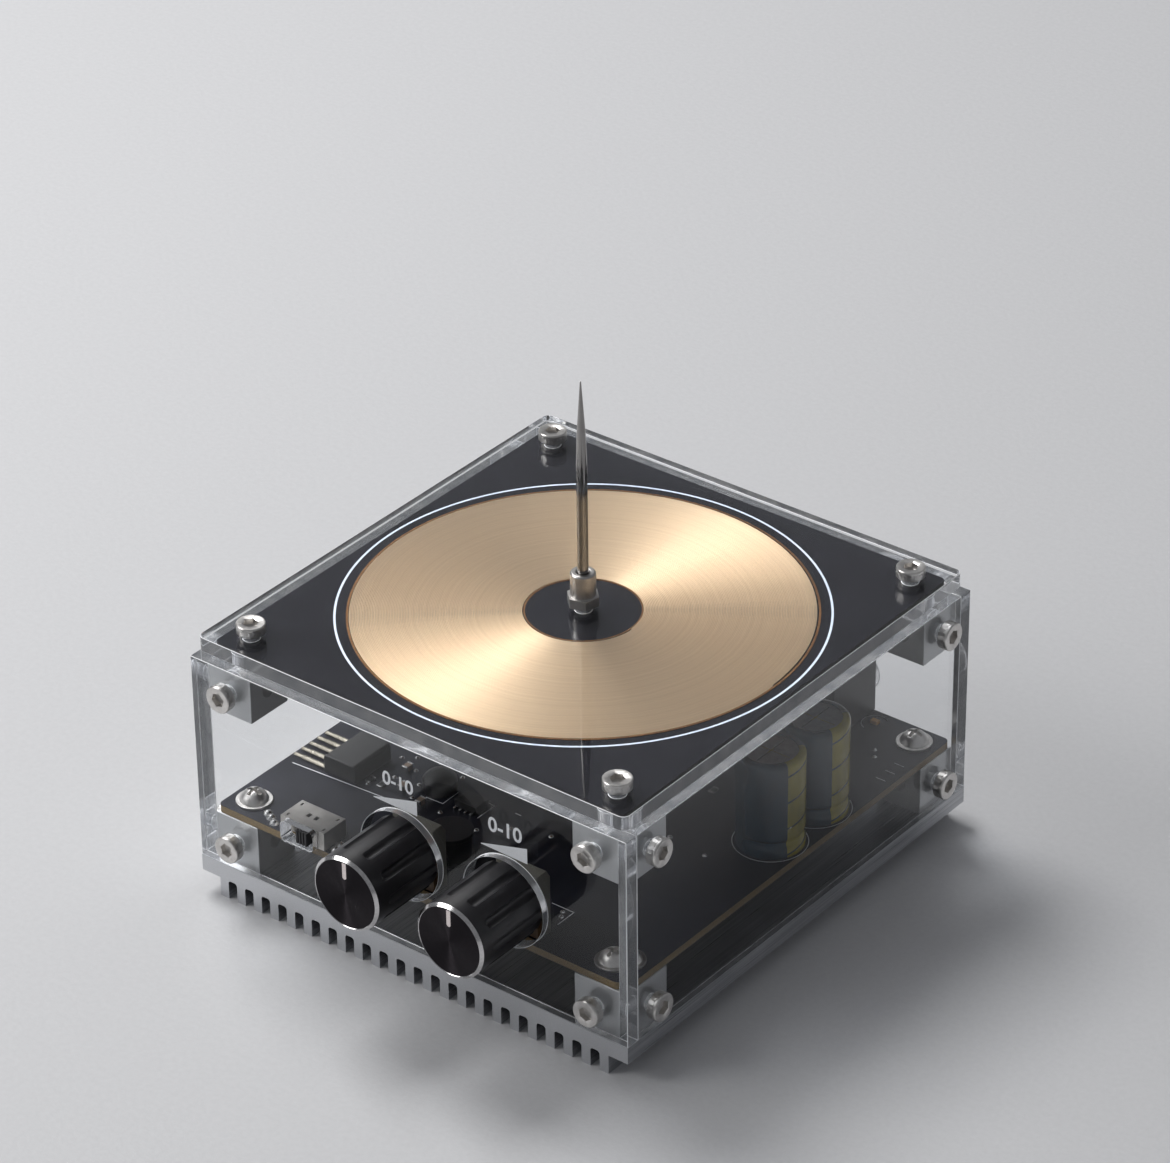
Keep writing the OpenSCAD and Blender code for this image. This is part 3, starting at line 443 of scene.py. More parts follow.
# %% Tools for Geometry Nodes
SOCKETS = {
    int: "NodeSocketInt",
    float: "NodeSocketFloat",
    bpy.types.Material: "NodeSocketMaterial",
    bpy.types.Object: "NodeSocketObject",
}


def new_tree(name, **inputs):
    """A tree with named inputs, each given by its kind: int, float, a material or an object."""
    tree = bpy.data.node_groups.new(name, "GeometryNodeTree")
    tree.interface.new_socket("Geometry", in_out="INPUT", socket_type="NodeSocketGeometry")
    for label, kind in inputs.items():
        tree.interface.new_socket(label, in_out="INPUT", socket_type=SOCKETS[kind])
    tree.interface.new_socket("Geometry", in_out="OUTPUT", socket_type="NodeSocketGeometry")
    return tree, add(tree, "NodeGroupInput").outputs


def end_tree(tree, shape, material):
    """Ends a tree in Realize Instances and Set Material."""
    real = add(tree, "GeometryNodeRealizeInstances", {"Geometry": shape})
    paint = add(tree, "GeometryNodeSetMaterial", {"Geometry": real, "Material": material})
    add(tree, "NodeGroupOutput", {"Geometry": paint})


def grown(name, mesh, tree, **values):
    """The plain mesh that a tree makes from `mesh` with these values."""
    holder = bpy.data.objects.new(name, mesh)
    modifier = holder.modifiers.new(tree.name, "NODES")
    modifier.node_group = tree
    names = {item.name: item.identifier for item in tree.interface.items_tree if item.in_out == "INPUT"}
    for label, value in values.items():
        modifier[names[label]] = value
    return plain(holder)


def bare_points(places, facing=None):
    """A mesh of loose points, with the direction that each one faces."""
    mesh = bpy.data.meshes.new("points")
    mesh.from_pydata([tuple(p) for p in places], [], [])
    directions = mesh.attributes.new("facing", "FLOAT_VECTOR", "POINT")
    for entry, direction in zip(directions.data, facing or [(0, 0, 1)] * len(places)):
        entry.vector = direction
    return mesh


# %% [markdown]
# ## Setting out equal parts
# Screws, pins and chips are bought by the bag and are all the same. One of each is made, and this tree
# puts a copy on every point, turned to face the point's direction and spun by its own seeded amount, as
# screws end up after tightening.

# %% The setting-out tree
set_out, ports = new_tree(
    "set_out", Part=bpy.types.Object, Spin=float, Seed=int, Finish=bpy.types.Material
)
part = add(set_out, "GeometryNodeObjectInfo", {"Object": ports["Part"]})
facing = add(set_out, "GeometryNodeInputNamedAttribute", {"Name": "facing"}, data_type="FLOAT_VECTOR")
pointing = add(set_out, "FunctionNodeAlignRotationToVector", {"Vector": facing}, axis="Z")
feed = {3: ports["Spin"], "Seed": ports["Seed"]}
chance = add(set_out, "FunctionNodeRandomValue", feed, data_type="FLOAT")
spin = add(set_out, "FunctionNodeAxisAngleToRotation", {"Angle": chance.outputs[1]})
feed = {"Rotation": pointing, "Rotate By": spin}
spun = add(set_out, "FunctionNodeRotateRotation", feed, rotation_space="LOCAL")
feed = {"Points": ports["Geometry"], "Instance": part.outputs["Geometry"], "Rotation": spun}
end_tree(set_out, add(set_out, "GeometryNodeInstanceOnPoints", feed), ports["Finish"])


def copies_of(name, part_mesh, places, material, facing=None, spin=0.0, seed=1):
    """One part copied to every place."""
    sample = bpy.data.objects.new("sample", part_mesh)
    scene.collection.objects.link(sample)
    points = bare_points(places, facing)
    mesh = grown(name, points, set_out, Part=sample, Spin=spin, Seed=seed, Finish=material)
    bpy.data.objects.remove(sample)
    return mesh


print("setting-out tree ready")

# %% [markdown]
# ## Clear sheets
# The walls and the lid are cast acrylic. Real ray-traced plastic gives the bent view of the screws and
# the faint mirror of the needle for nothing, as long as the sheets have thickness and never quite
# touch: each is drawn in a little, which leaves the air gap of a dry joint. Lamps shine through as
# through real plastic, because shadow rays see a clear shader. The narrow edges are cut and flame
# polished, which leaves them hazy, so they get a finish of their own. The white lines where the arrises
# catch the light are a painted highlight: the arrises get a nearly opaque white finish.

# %% Acrylic
def lamps_through(material, colour):
    """Lets lamps shine through a material with one shader."""
    nodes = material.node_tree.nodes
    shadow = add(material, "ShaderNodeLightPath").outputs["Is Shadow Ray"]
    see_through = add(material, "ShaderNodeBsdfTransparent", {"Color": (*colour, 1.0)})
    choice = add(material, "ShaderNodeMixShader", {0: shadow, 1: nodes["Principled BSDF"], 2: see_through})
    wire(material, choice, nodes["Material Output"].inputs["Surface"])


acrylic = finish(
    "clear_acrylic", (0.985, 0.99, 0.995), 0.0, IOR=1.49, Transmission_Weight=1.0,
    Specular_Tint=(0.15, 0.15, 0.15, 1.0)
)
tint(acrylic, grain(acrylic, 20.0, detail=2.0), (0.975, 0.982, 0.988), (0.99, 0.995, 1.0))
lamps_through(acrylic, (0.93, 0.935, 0.94))
cut_edge = finish("polished_cut_edge", (0.88, 0.90, 0.94), 0.1, IOR=1.49, Transmission_Weight=0.78)
edge_streaks = grain(cut_edge, 2.6, (1, 1, 1.6), 2.0)
tint(cut_edge, edge_streaks, (0.62, 0.65, 0.70), (0.97, 0.98, 1.0))
haze(cut_edge, edge_streaks, 0.04, 0.14)
lamps_through(cut_edge, (0.75, 0.76, 0.78))
# The arrises are painted white: a painted highlight for the light that they catch.
arris_highlight_paint = worked("bright_arris", (0.90, 0.92, 0.95), (1.0, 1.0, 1.0), (0.15, 0.30), 2.0, 0.004)
lamps_through(arris_highlight_paint, (0.75, 0.76, 0.78))
AIR_GAP = 0.02
LEVER_LOW, LEVER_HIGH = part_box("switch_lever")


def in_slot(middle):
    """Whether a face lies in the slot for the switch's lever, or right beside it."""
    beside = LEVER_LOW.x - MM < middle.x < LEVER_HIGH.x + MM
    return beside and abs(middle.z - LEVER_LOW.z) < 8 * MM


def sheet_mesh(node):
    """A clear sheet: clear faces and slot, hazy narrow edges and arrises with a painted white highlight."""
    low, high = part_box(node)
    thin = min(range(3), key=lambda i: high[i] - low[i])

    def choose(middle, normal):
        if abs(normal[thin]) > 0.99 or (thin == 1 and in_slot(middle)):
            return 0
        return 1 if abs(normal[thin]) < 0.05 else 2

    return painted(eased(node, 0.22, AIR_GAP), (acrylic, cut_edge, arris_highlight_paint), choose)


for sheet in ("front_wall", "rear_wall", "left_wall", "right_wall", "lid"):
    piece("clear_" + sheet, sheet_mesh(sheet), "clear_acrylic", None, sheet)

# %% [markdown]
# ## Finned base and corner cubes
# The base is one length of aluminium extrusion: brushed along its fins, with saw-cut ends. The eight
# cubes are milled from bar and left matte. Both keep their CAD shape with broken edges, and the grain
# is noise stretched along the way the tool went.

# %% Base and cubes
brushed = worked(
    "brushed_aluminium", (0.36, 0.37, 0.39), (0.60, 0.61, 0.63), (0.26, 0.42), 0.30, 0.006, 1.0, (1, 90, 1)
)
sawn = worked("sawn_aluminium", (0.56, 0.57, 0.59), (0.66, 0.67, 0.69), (0.34, 0.44), 0.12, 0.002, 1.0)


def base_faces(middle, normal):
    """Saw-cut ends in front and behind, brushed along the fins everywhere else."""
    return 1 if abs(normal.y) > 0.6 else 0


finned_base = painted(eased("heat_sink", 0.25), (brushed, sawn), base_faces)
piece("finned_base", finned_base, "brushed_aluminium", None, "heat_sink")
milled = worked("milled_aluminium", (0.50, 0.51, 0.52), (0.64, 0.65, 0.66), (0.42, 0.55), 0.14, 0.005, 1.0)
for cubes in ("lower_cubes", "upper_cubes"):
    piece(cubes + "_milled", eased(cubes, 0.15), "milled_aluminium", milled, cubes)

# %% [markdown]
# ## Socket screws
# An M3 socket screw has a knurled head with a hexagon pressed into it and a rolled thread. All of it is
# one loft: a ring of points of the head is round, hexagonal or knurled, and the thread's rings lean by
# one pitch a turn, which makes a true helix. The threads matter here because the walls are clear.

# %% One socket screw
RING, KNURLS, KNURL, RIDGE = 48, 24, 0.035, 0.13
HEAD_R, HEAD_H, KEY, THREAD_R, PITCH = 2.75, 2.0, 2.5, 1.5, 0.5
KNURL_TOP = HEAD_H - 0.78
# The head from its underside to its rim: distance inside its radius, height, depth of the knurl.
HEAD = [
    (0.12, 0.0, 0.0), (0.06, 0.08, 0.0), (0.06, 0.12, KNURL), (0.06, KNURL_TOP, KNURL),
    (0.12, KNURL_TOP + 0.03, 0.0), (0.12, KNURL_TOP + 0.13, 0.0), (0.01, KNURL_TOP + 0.18, 0.0),
    (0.0, KNURL_TOP + 0.24, 0.0), (0.0, HEAD_H - 0.2, 0.0), (0.04, HEAD_H - 0.12, 0.0), (0.16, HEAD_H, 0.0)
]


def hexagon(flats, angle):
    """Distance from the middle to a hexagon's side at an angle."""
    sixth = math.pi / 3
    return flats / 2 / math.cos((angle + sixth / 2) % sixth - sixth / 2)


def screw_ring(radius, height, flats=0.0, knurl=0.0, ridge=0.0):
    """A ring of a screw: round, hexagonal, knurled, or with a ridge that climbs one pitch a turn."""
    ring = []
    for j in range(RING):
        angle = 2 * math.pi * j / RING
        r = hexagon(flats, angle) if flats else radius + knurl * math.cos(KNURLS * angle)
        r = r - ridge + 2 * ridge * abs((height / PITCH - j / RING) % 1.0 - 0.5)
        ring.append(mm(r * math.cos(angle), r * math.sin(angle), height))
    return ring


def socket_screw(length):
    """A socket screw whose head stands on z = 0."""
    rows = round(length / PITCH * 4)
    climb = (length - 0.4) / rows
    rings = [screw_ring(0.5, -length), screw_ring(THREAD_R - 0.35, -length)]
    for i in range(rows + 1):
        rings.append(screw_ring(THREAD_R - 0.05, 0.3 - length + climb * i, ridge=RIDGE))
    rings.append(screw_ring(THREAD_R - 0.1, 0))
    rings += [screw_ring(HEAD_R - inset, height, knurl=knurl) for inset, height, knurl in HEAD]
    rings += [screw_ring(KEY * 0.66, HEAD_H), screw_ring(0, HEAD_H - 0.14, KEY)]
    rings += [screw_ring(0, HEAD_H * 0.4, KEY), screw_ring(0.2, HEAD_H * 0.3)]
    return loft("socket_screw", rings, 28.0)


screw_steel = worked("stainless", (0.58, 0.56, 0.54), (0.76, 0.74, 0.715), (0.285, 0.33), 1.5, 0.0, 1.0)
screw_sets = {
    "lid_screws": (0, 0, 1),
    "front_wall_screws": (0, -1, 0),
    "rear_wall_screws": (0, 1, 0),
    "left_wall_screws": (-1, 0, 0),
    "right_wall_screws": (1, 0, 0),
    "base_screws": (0, 0, -1),
}
FIRST_SEED, ANY_WAY = 3, 6.28
for seed, (node, direction) in enumerate(screw_sets.items(), FIRST_SEED):
    way = Vector(direction)
    places = []
    for low, high in solids(node):
        middle, half = (low + high) / 2, abs((high - low).dot(way)) / 2
        places.append(middle + way * (half - HEAD_H * MM))
        length = 2 * half / MM - HEAD_H
    facings = [direction] * len(places)
    mesh = copies_of(node + "_set", socket_screw(length), places, screw_steel, facings, ANY_WAY, seed)
    smooth(mesh, 28.0)
    piece(node + "_set", mesh, "screw_steel", screw_steel, node)

# %% [markdown]
# ## Coil board and coil
# The secondary of this transformer is not wound from wire: it is one spiral track etched on a board and
# gold plated. Seen from arm's length its turns melt into one brushed disc. The track is grown by
# Geometry Nodes from its rule: every point turns by an equal angle and moves out by an equal amount.

# %% The spiral tree
spiral, ports = new_tree(
    "spiral_track", Inner=float, Outer=float, Turns=int, Steps=int, Width=float, Thickness=float,
    Base=float, Finish=bpy.types.Material
)
plus, minus, times, over = sums(spiral)
total = times(ports["Turns"], ports["Steps"])
line = add(spiral, "GeometryNodeMeshLine", {"Count": plus(total, 1)})
step_number = add(spiral, "GeometryNodeInputIndex").outputs[0]
angle = times(over(step_number, ports["Steps"]), 2 * math.pi)
growth = times(minus(ports["Outer"], ports["Inner"]), over(step_number, total))
radius = plus(ports["Inner"], growth)
point = add(spiral, "ShaderNodeCombineXYZ", {
    "X": times(radius, calc(spiral, "COSINE", angle)),
    "Y": times(radius, calc(spiral, "SINE", angle)),
    "Z": plus(ports["Base"], over(ports["Thickness"], 2.0)),
})
place = add(spiral, "GeometryNodeSetPosition", {"Geometry": line, "Position": point})
curve = add(spiral, "GeometryNodeMeshToCurve", {"Mesh": place})
level = add(spiral, "GeometryNodeSetCurveNormal", {"Curve": curve}, mode="Z_UP")
feed = {"Width": ports["Width"], "Height": ports["Thickness"]}
section = add(spiral, "GeometryNodeCurvePrimitiveQuadrilateral", feed)
feed = {"Curve": level, "Profile Curve": section, "Fill Caps": True}
end_tree(spiral, add(spiral, "GeometryNodeCurveToMesh", feed), ports["Finish"])
print("spiral tree:", len(spiral.nodes), "nodes")

# %% [markdown]
# ### Gold that was brushed in circles
# Fine rings act as a mirror across the groove and as a blur along it. One anisotropic shader with a
# radial tangent does the same, and it draws the two bright fans whatever the light.

# %% Gold track
low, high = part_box("secondary_coil")
COIL_INNER, COIL_OUTER, TURNS, STEPS, TURN_GAP = 11.0, high.x / MM, 110, 120, 0.03
pitch = (COIL_OUTER - COIL_INNER) / (TURNS + 0.5)
gold = finish("brushed_gold", (0.80, 0.60, 0.39), 0.29, 1.0, Anisotropic=0.5, Anisotropic_Rotation=0.25)
wire(gold, add(gold, "ShaderNodeTangent", direction_type="RADIAL", axis="Z"), into(gold, "Tangent"))
gold_place = add(gold, "ShaderNodeSeparateXYZ", {0: add(gold, "ShaderNodeTexCoord").outputs["Object"]})
plus, minus, times, over = sums(gold)
squares = [times(side, side) for side in gold_place.outputs[:2]]
from_axis = over(calc(gold, "SQRT", plus(*squares)), 0.6 * MM)
wander = times(grain(gold, 12.0, detail=2.0), 2.0)
feed = {"W": plus(from_axis, wander), "Scale": 1.0, "Detail": 3.0}
rings = add(gold, "ShaderNodeTexNoise", feed, noise_dimensions="1D").outputs["Fac"]
tint(gold, rings, (0.90, 0.685, 0.455), (0.97, 0.755, 0.52))
haze(gold, rings, 0.285, 0.295)
track_mesh = grown(
    "gold_coil", bare_points([]), spiral, Inner=(COIL_INNER + pitch / 2) * MM,
    Outer=(COIL_OUTER - pitch / 2) * MM, Turns=TURNS, Steps=STEPS, Width=(pitch - TURN_GAP) * MM,
    Thickness=high.z - low.z, Base=low.z, Finish=gold
)
piece("gold_coil", track_mesh, "gold_track", None, "secondary_coil")

# %% [markdown]
# ### Board, printed ring and painted shade rims
# The board is laminate under glossy black solder mask. A thin white ring is screen printed round the
# coil, and a dark brown band round both ends of the track is painted shade under the raised gold's
# edges. Ink and the shade bands are made as films: flat bands with a few hundredths of height.

# %% Board, ring and rims
coil_mask = worked("black_mask", (0.007, 0.007, 0.010), (0.011, 0.011, 0.015), (0.10, 0.13), 8.0, 0.0)
dark_edge = worked("black_laminate", (0.008, 0.007, 0.006), (0.02, 0.017, 0.014), (0.4, 0.6), 0.25, 0.004)
laminate = worked("brown_laminate_edge", (0.12, 0.078, 0.028), (0.24, 0.165, 0.065), (0.4, 0.6), 0.25, 0.01)


def board_faces(middle, normal):
    """Mask on the level faces of a board, bare laminate round its edge."""
    return 1 if abs(normal.z) < 0.3 else 0


coil_board = painted(eased("coil_board", 0.12), (coil_mask, dark_edge), board_faces)
piece("coil_board_black", coil_board, "coil_board_black", None, "coil_board")
ink = worked("white_ink", (0.78, 0.80, 0.83), (0.86, 0.88, 0.90), (0.35, 0.5), 0.4, 0.004)
blue_ink = worked("cool_white_ink", (0.56, 0.64, 0.78), (0.66, 0.73, 0.86), (0.35, 0.5), 0.4, 0.004)
brown_copper = worked("brown_copper", (0.16, 0.075, 0.03), (0.30, 0.15, 0.06), (0.3, 0.45), 0.4, 0.004, 1.0)
board_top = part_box("coil_board")[1].z / MM


def ring_band(name, inner, outer, low, high):
    """A flat ring with a rectangular section."""
    count = 192
    profile = ((inner, low), (outer, low), (outer, high), (inner, high))
    points = [p for r, z in profile for p in circle(r, z, count)]
    faces = []
    for i in range(4):
        for j in range(count):
            k, n = (j + 1) % count, (i + 1) % 4
            faces.append((i * count + j, n * count + j, n * count + k, i * count + k))
    return shell(name, points, faces)


def film(name, inner, outer, rise, material, slot):
    """A ring of ink on the coil board, or a band of painted shade."""
    band = ring_band(name, inner, outer, board_top + 0.005, board_top + rise)
    piece(name, band, slot, material)


RING_INNER, RING_OUTER, INK_RISE, SHADE_BAND_RISE = 45.28, 45.7, 0.035, 0.1
film("printed_ring", RING_INNER, RING_OUTER, INK_RISE, blue_ink, "coil_board_black")
# The two rims are a dark brown band, painted as shade under the edges of the gold disc.
film("outer_copper_rim", COIL_OUTER, COIL_OUTER + 0.4, SHADE_BAND_RISE, brown_copper, "gold_track")
film("inner_copper_rim", COIL_INNER - 0.3, COIL_INNER, SHADE_BAND_RISE, brown_copper, "gold_track")

# %% [markdown]
# ## Printed marks on the front wall
# Above each knob a white wedge shows which way is more, with a plain 0-10 scale over it. They are
# printed on the outer face. The wedge is a thin prism and the numbers are text made into a mesh first
# and put in place afterwards, so that the finished object stays at the origin.

# %% Wedges and numbers
WALL_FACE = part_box("front_wall")[0].y
INK_T = 0.03


def wedge(name, thin_end, thick_end):
    """A wedge from a point to an upright side, in millimetres along X and Z."""
    (x0, z0), (x1, z1, z2) = thin_end, thick_end
    outline = [(x0, z0 - 0.08), (x1, z1), (x1, z2), (x0, z0 + 0.08)]
    count = len(outline)
    points = [(x * MM, WALL_FACE - t * MM, z * MM) for t in (0.0, INK_T) for x, z in outline]
    faces = [tuple(range(count)), tuple(range(2 * count - 1, count - 1, -1))]
    faces += [(j, (j + 1) % count, count + (j + 1) % count, count + j) for j in range(count)]
    piece(name, shell(name, points, faces), "clear_acrylic", ink)


def numbers(name, words, middle_x, low_z, height):
    """Plain numbers on the front wall, `height` millimetres high."""
    text = bpy.data.curves.new(name, "FONT")
    text.body = words
    text.resolution_u = 6
    text.extrude = 0.01
    text.offset = 0.018
    mesh = plain(bpy.data.objects.new(name, text))
    xs = [v.co.x for v in mesh.vertices]
    ys = [v.co.y for v in mesh.vertices]
    scale = height * MM / (max(ys) - min(ys))
    flat = Matrix.Diagonal((scale, scale, INK_T * MM / 0.02, 1.0))
    centred = Matrix.Translation((-(min(xs) + max(xs)) / 2, -min(ys), 0.01))
    mesh.transform(towards_front(middle_x * MM, WALL_FACE, low_z * MM) @ flat @ centred)
    piece(name, mesh, "clear_acrylic", ink)


wedge("power_wedge", (-7.0, 37.7), (3.1, 37.5, 40.6))
wedge("frequency_wedge", (17.65, 37.8), (28.1, 37.6, 40.8))
numbers("power_numbers", "0-10", -1.2, 41.5, 2.9)
numbers("frequency_numbers", "0-10", 23.2, 41.3, 3.1)

# %% [markdown]
# ## Knobs
# Each knob is turned from bar: a black body with ten grip flutes that stop at a plain collar, a bright
# bevel cut by a diamond tool, and a face spun in circles. A lathe makes all of it but the flutes, so
# the body is a loft, and Geometry Nodes mill the flutes: each point is drawn in to the cutter's
# circle, and the cutter's ball end leaves their round fronts. The points round the body are crowded at
# the flutes' edges, so that these stay crisp.

# %% The flute tree
flutes, ports = new_tree(
    "flutes", Flutes=int, Cutter=float, Depth=float, Body=float, Straight=float, Finish=bpy.types.Material
)
x, y, z = add(flutes, "ShaderNodeSeparateXYZ", {0: add(flutes, "GeometryNodeInputPosition")}).outputs
plus, minus, times, over = sums(flutes)
now = calc(flutes, "SQRT", plus(times(x, x), times(y, y)))
between = over(2 * math.pi, ports["Flutes"])
turn = over(calc(flutes, "ARCTAN2", y, x), between)
side = times(times(minus(turn, calc(flutes, "ROUND", turn)), between), ports["Body"])
ahead = calc(flutes, "MAXIMUM", minus(z, ports["Straight"]), 0.0)
away = plus(times(side, side), times(ahead, ahead))
room = minus(times(ports["Cutter"], ports["Cutter"]), away)
bite = calc(flutes, "SQRT", calc(flutes, "MAXIMUM", room, 0.0))
axis_r = minus(plus(ports["Body"], ports["Cutter"]), ports["Depth"])
left = calc(flutes, "MINIMUM", now, minus(axis_r, bite))
share = over(left, calc(flutes, "MAXIMUM", now, 1e-6))
drawn_in = add(flutes, "ShaderNodeCombineXYZ", {"X": times(x, share), "Y": times(y, share), "Z": z})
move = add(flutes, "GeometryNodeSetPosition", {"Geometry": ports["Geometry"], "Position": drawn_in})
end_tree(flutes, move, ports["Finish"])
print("flute tree:", len(flutes.nodes), "nodes")

# %% Knob finishes
anodised = worked(
    "black_anodised", (0.006, 0.005, 0.007), (0.010, 0.009, 0.011), (0.34, 0.38), 1.5, 0.0,
    Specular_IOR_Level=0.8
)
spun_face = finish("spun_black", (0.02, 0.02, 0.02), 0.5, 1.0, Anisotropic=0.95, Anisotropic_Rotation=0.25)
face_tangent = add(spun_face, "ShaderNodeTangent", direction_type="RADIAL", axis="Y")
wire(spun_face, face_tangent, into(spun_face, "Tangent"))
face_cloud = grain(spun_face, 0.8, detail=3.0)
tint(spun_face, face_cloud, (0.024, 0.021, 0.024), (0.032, 0.028, 0.032))
haze(spun_face, face_cloud, 0.48, 0.54)
bright_cut = worked("diamond_cut", (0.56, 0.55, 0.55), (0.70, 0.69, 0.69), (0.12, 0.18), 0.6, 0.0, 1.0)

# %% Knob bodies
KNOB_R, KNOB_LEN, BEVEL, DISH, CUTTER, DEPTH, COLLAR, FLUTES = 7.5, 17.0, 0.55, 0.1, 1.1, 0.65, 3.2, 10
CAVITY_R, CAVITY = 4.75, 12.2
HALF_MOUTH = math.sqrt(CUTTER**2 - (CUTTER - DEPTH) ** 2)
MOUTH = math.degrees(HALF_MOUTH / KNOB_R)
FLUTE_END = KNOB_LEN - COLLAR
STRAIGHT = FLUTE_END - HALF_MOUTH
half_marks = (1.5, 3.0, 4.5, 6.0, MOUTH - 0.5, MOUTH, MOUTH + 0.5, 10.0, 13.0, 16.0)
marks = [-m for m in reversed(half_marks)] + [0.0] + list(half_marks)
angles = [math.radians(360 // FLUTES * i + m) for i in range(FLUTES) for m in marks]


def knob_ring(radius, height):
    """A ring with its points crowded at the flutes' edges."""
    return [mm(radius * math.cos(a), radius * math.sin(a), height) for a in angles]


def knob_body():
    """The turned body, from the floor of its cavity round to its face."""
    profile = [(CAVITY_R, CAVITY), (CAVITY_R, 0.0), (KNOB_R - 0.9, 0.0), (KNOB_R - 0.4, 0.0)]
    profile += [(KNOB_R - 0.1, 0.12), (KNOB_R, 0.4)]
    profile += [(KNOB_R, 0.4 + (STRAIGHT - 0.6) * i / 6) for i in range(1, 7)]
    profile += [(KNOB_R, STRAIGHT + 0.1 * i) for i in range(12)]
    profile += [(KNOB_R, FLUTE_END + 0.6), (KNOB_R, KNOB_LEN - BEVEL)]
    profile += [(KNOB_R - BEVEL, KNOB_LEN), (KNOB_R - BEVEL - 0.1, KNOB_LEN - DISH)]
    return loft("knob_body", [knob_ring(radius, height) for radius, height in profile], 30.0)


def knob_faces(middle, normal):
    """The body's material, the bevel's or the face's, on a knob that still stands on +Z."""
    height, radius = middle.z / MM, math.hypot(middle.x, middle.y) / MM
    if height > KNOB_LEN - BEVEL + 0.05 and normal.z > 0.2:
        return 2 if radius < KNOB_R - BEVEL - 0.2 else 1
    return 0


def knob_seat(body):
    """The place of a knob that was made on +Z."""
    low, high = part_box(body)
    return towards_front((low.x + high.x) / 2, high.y, (low.z + high.z) / 2)


for body in ("power_knob", "frequency_knob"):
    mesh = grown(
        body + "_turned", knob_body(), flutes, Flutes=FLUTES, Cutter=CUTTER * MM, Depth=DEPTH * MM,
        Body=KNOB_R * MM, Straight=STRAIGHT * MM, Finish=anodised
    )
    painted(mesh, (anodised, bright_cut, spun_face), knob_faces)
    mesh.transform(knob_seat(body))
    smooth(mesh, 30.0)
    piece(body + "_turned", mesh, "knob_black", None, body, body=body)

# %% [markdown]
# ### Pointers
# The pointer is a strip of white paint in a shallow groove, with its inner end rounded by the cutter.
# It is a loft along the strip's own outline, and it rides with its knob.

# %% Pointers
POINTER_W, POINTER_LEN = 0.9, 3.4


def pointer(name, body):
    """The painted pointer of one knob."""
    top = KNOB_R - BEVEL - 0.35
    half = POINTER_W / 2
    end = top - POINTER_LEN + half
    outline = [(-half, top), (-half, end)]
    for degrees in range(15, 180, 15):
        a = math.radians(degrees)
        outline.append((-half * math.cos(a), end - half * math.sin(a)))
    outline += [(half, end), (half, top)]
    rings = [[mm(x, y, z) for x, y in outline] for z in (KNOB_LEN - DISH - 0.1, KNOB_LEN - DISH + 0.02)]
    mesh = loft(name, rings)
    mesh.transform(knob_seat(body))
    piece(name, mesh, "knob_black", pointer_paint, body=body)


pointer_paint = worked("pointer_paint", (0.80, 0.70, 0.68), (0.92, 0.84, 0.82), (0.4, 0.5), 0.3, 0.01)
pointer("power_pointer", "power_knob")
pointer("frequency_pointer", "frequency_knob")

# %% [markdown]
# ## Driver board and its prints
# The board is laminate with a dark solder mask. Its white prints are outlines of parts: a line before
# the power package, a square corner round the dome, circles round the two capacitors. Each print is a
# set of narrow strips laid along a line.

# %% Driver board
mask = worked(
    "driver_solder_mask", (0.006, 0.007, 0.013), (0.011, 0.012, 0.021), (0.28, 0.34), 6.0, 0.0,
    Specular_IOR_Level=0.25
)
driver_board = painted(eased("driver_board", 0.12), (mask, laminate), board_faces)
piece("driver_board_masked", driver_board, "driver_board_dark", None, "driver_board")
DRIVER_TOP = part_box("driver_board")[1].z / MM


def strips(name, lines, width, material):
    """Flat strips along lines on the driver board, in millimetres."""
    points, faces = [], []
    for line in lines:
        for (x0, y0), (x1, y1) in zip(line, line[1:]):
            along = Vector((x1 - x0, y1 - y0)).normalized() * width / 2
            across = Vector((-along.y, along.x))
            ends = [Vector((x0, y0)) - along, Vector((x1, y1)) + along]
            corners = [ends[0] - across, ends[1] - across, ends[1] + across, ends[0] + across]
            first = len(points)
            points += [mm(c.x, c.y, DRIVER_TOP + z) for z in (0.004, 0.03) for c in corners]
            faces += [(first + 3, first + 2, first + 1, first), (first + 4, first + 5, first + 6, first + 7)]
            for j in range(4):
                k = (j + 1) % 4
                faces.append((first + j, first + k, first + 4 + k, first + 4 + j))
    piece(name, shell(name, points, faces), "driver_board_dark", material)


def arc(x, y, radius, start, end, steps=40):
    """Points along an arc, in millimetres and degrees."""
    turn = [math.radians(start + (end - start) * i / steps) for i in range(steps + 1)]
    return [(x + radius * math.cos(a), y + radius * math.sin(a)) for a in turn]


cap_middles = [(low + high) / 2 / MM for low, high in solids("capacitor_cans")]
led_low, led_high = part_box("status_led")
led = (led_low + led_high) / 2 / MM
outlines = [
    [(-44.7, -30.1), (-21.8, -28.7)],
    [(-17.4, -24.0), (-13.6, -23.8), (-13.7, -19.3)],
    [(-11.6, -18.4), (-5.5, -18.6), (-5.5, -23.6)],
    [(-0.9, -18.2), (0.3, -18.2)],
    [(22.3, -36.6), (27.2, -36.6), (27.2, -41.2)],
    [(43.2, 30.0), (45.2, 30.0)],
    [(43.2, 33.0), (45.2, 33.0)],
    [(43.2, 36.0), (45.2, 36.0)],
    arc(led.x, led.y, 2.6, 60, 250),
]
outlines += [arc(middle.x, middle.y, 7.0, 0, 360, 72) for middle in cap_middles]
strips("board_outlines", outlines, 0.16, ink)

# %% [markdown]
# ## Solder
# Solder wets its pad and pulls itself into a smooth bright lump. One lump is turned, and the
# setting-out tree puts three of them in a row beside the left end of the switch's shell, where they run
# together, and two at its right end. Small ones go between the parts.

# %% Solder lumps
solder = worked("solder", (0.66, 0.66, 0.66), (0.88, 0.88, 0.87), (0.12, 0.28), 0.8, 0.02, 1.0)


def on_board(*places):
    """Places on the driver board's top face."""
    return [mm(x, y, DRIVER_TOP) for x, y in places]


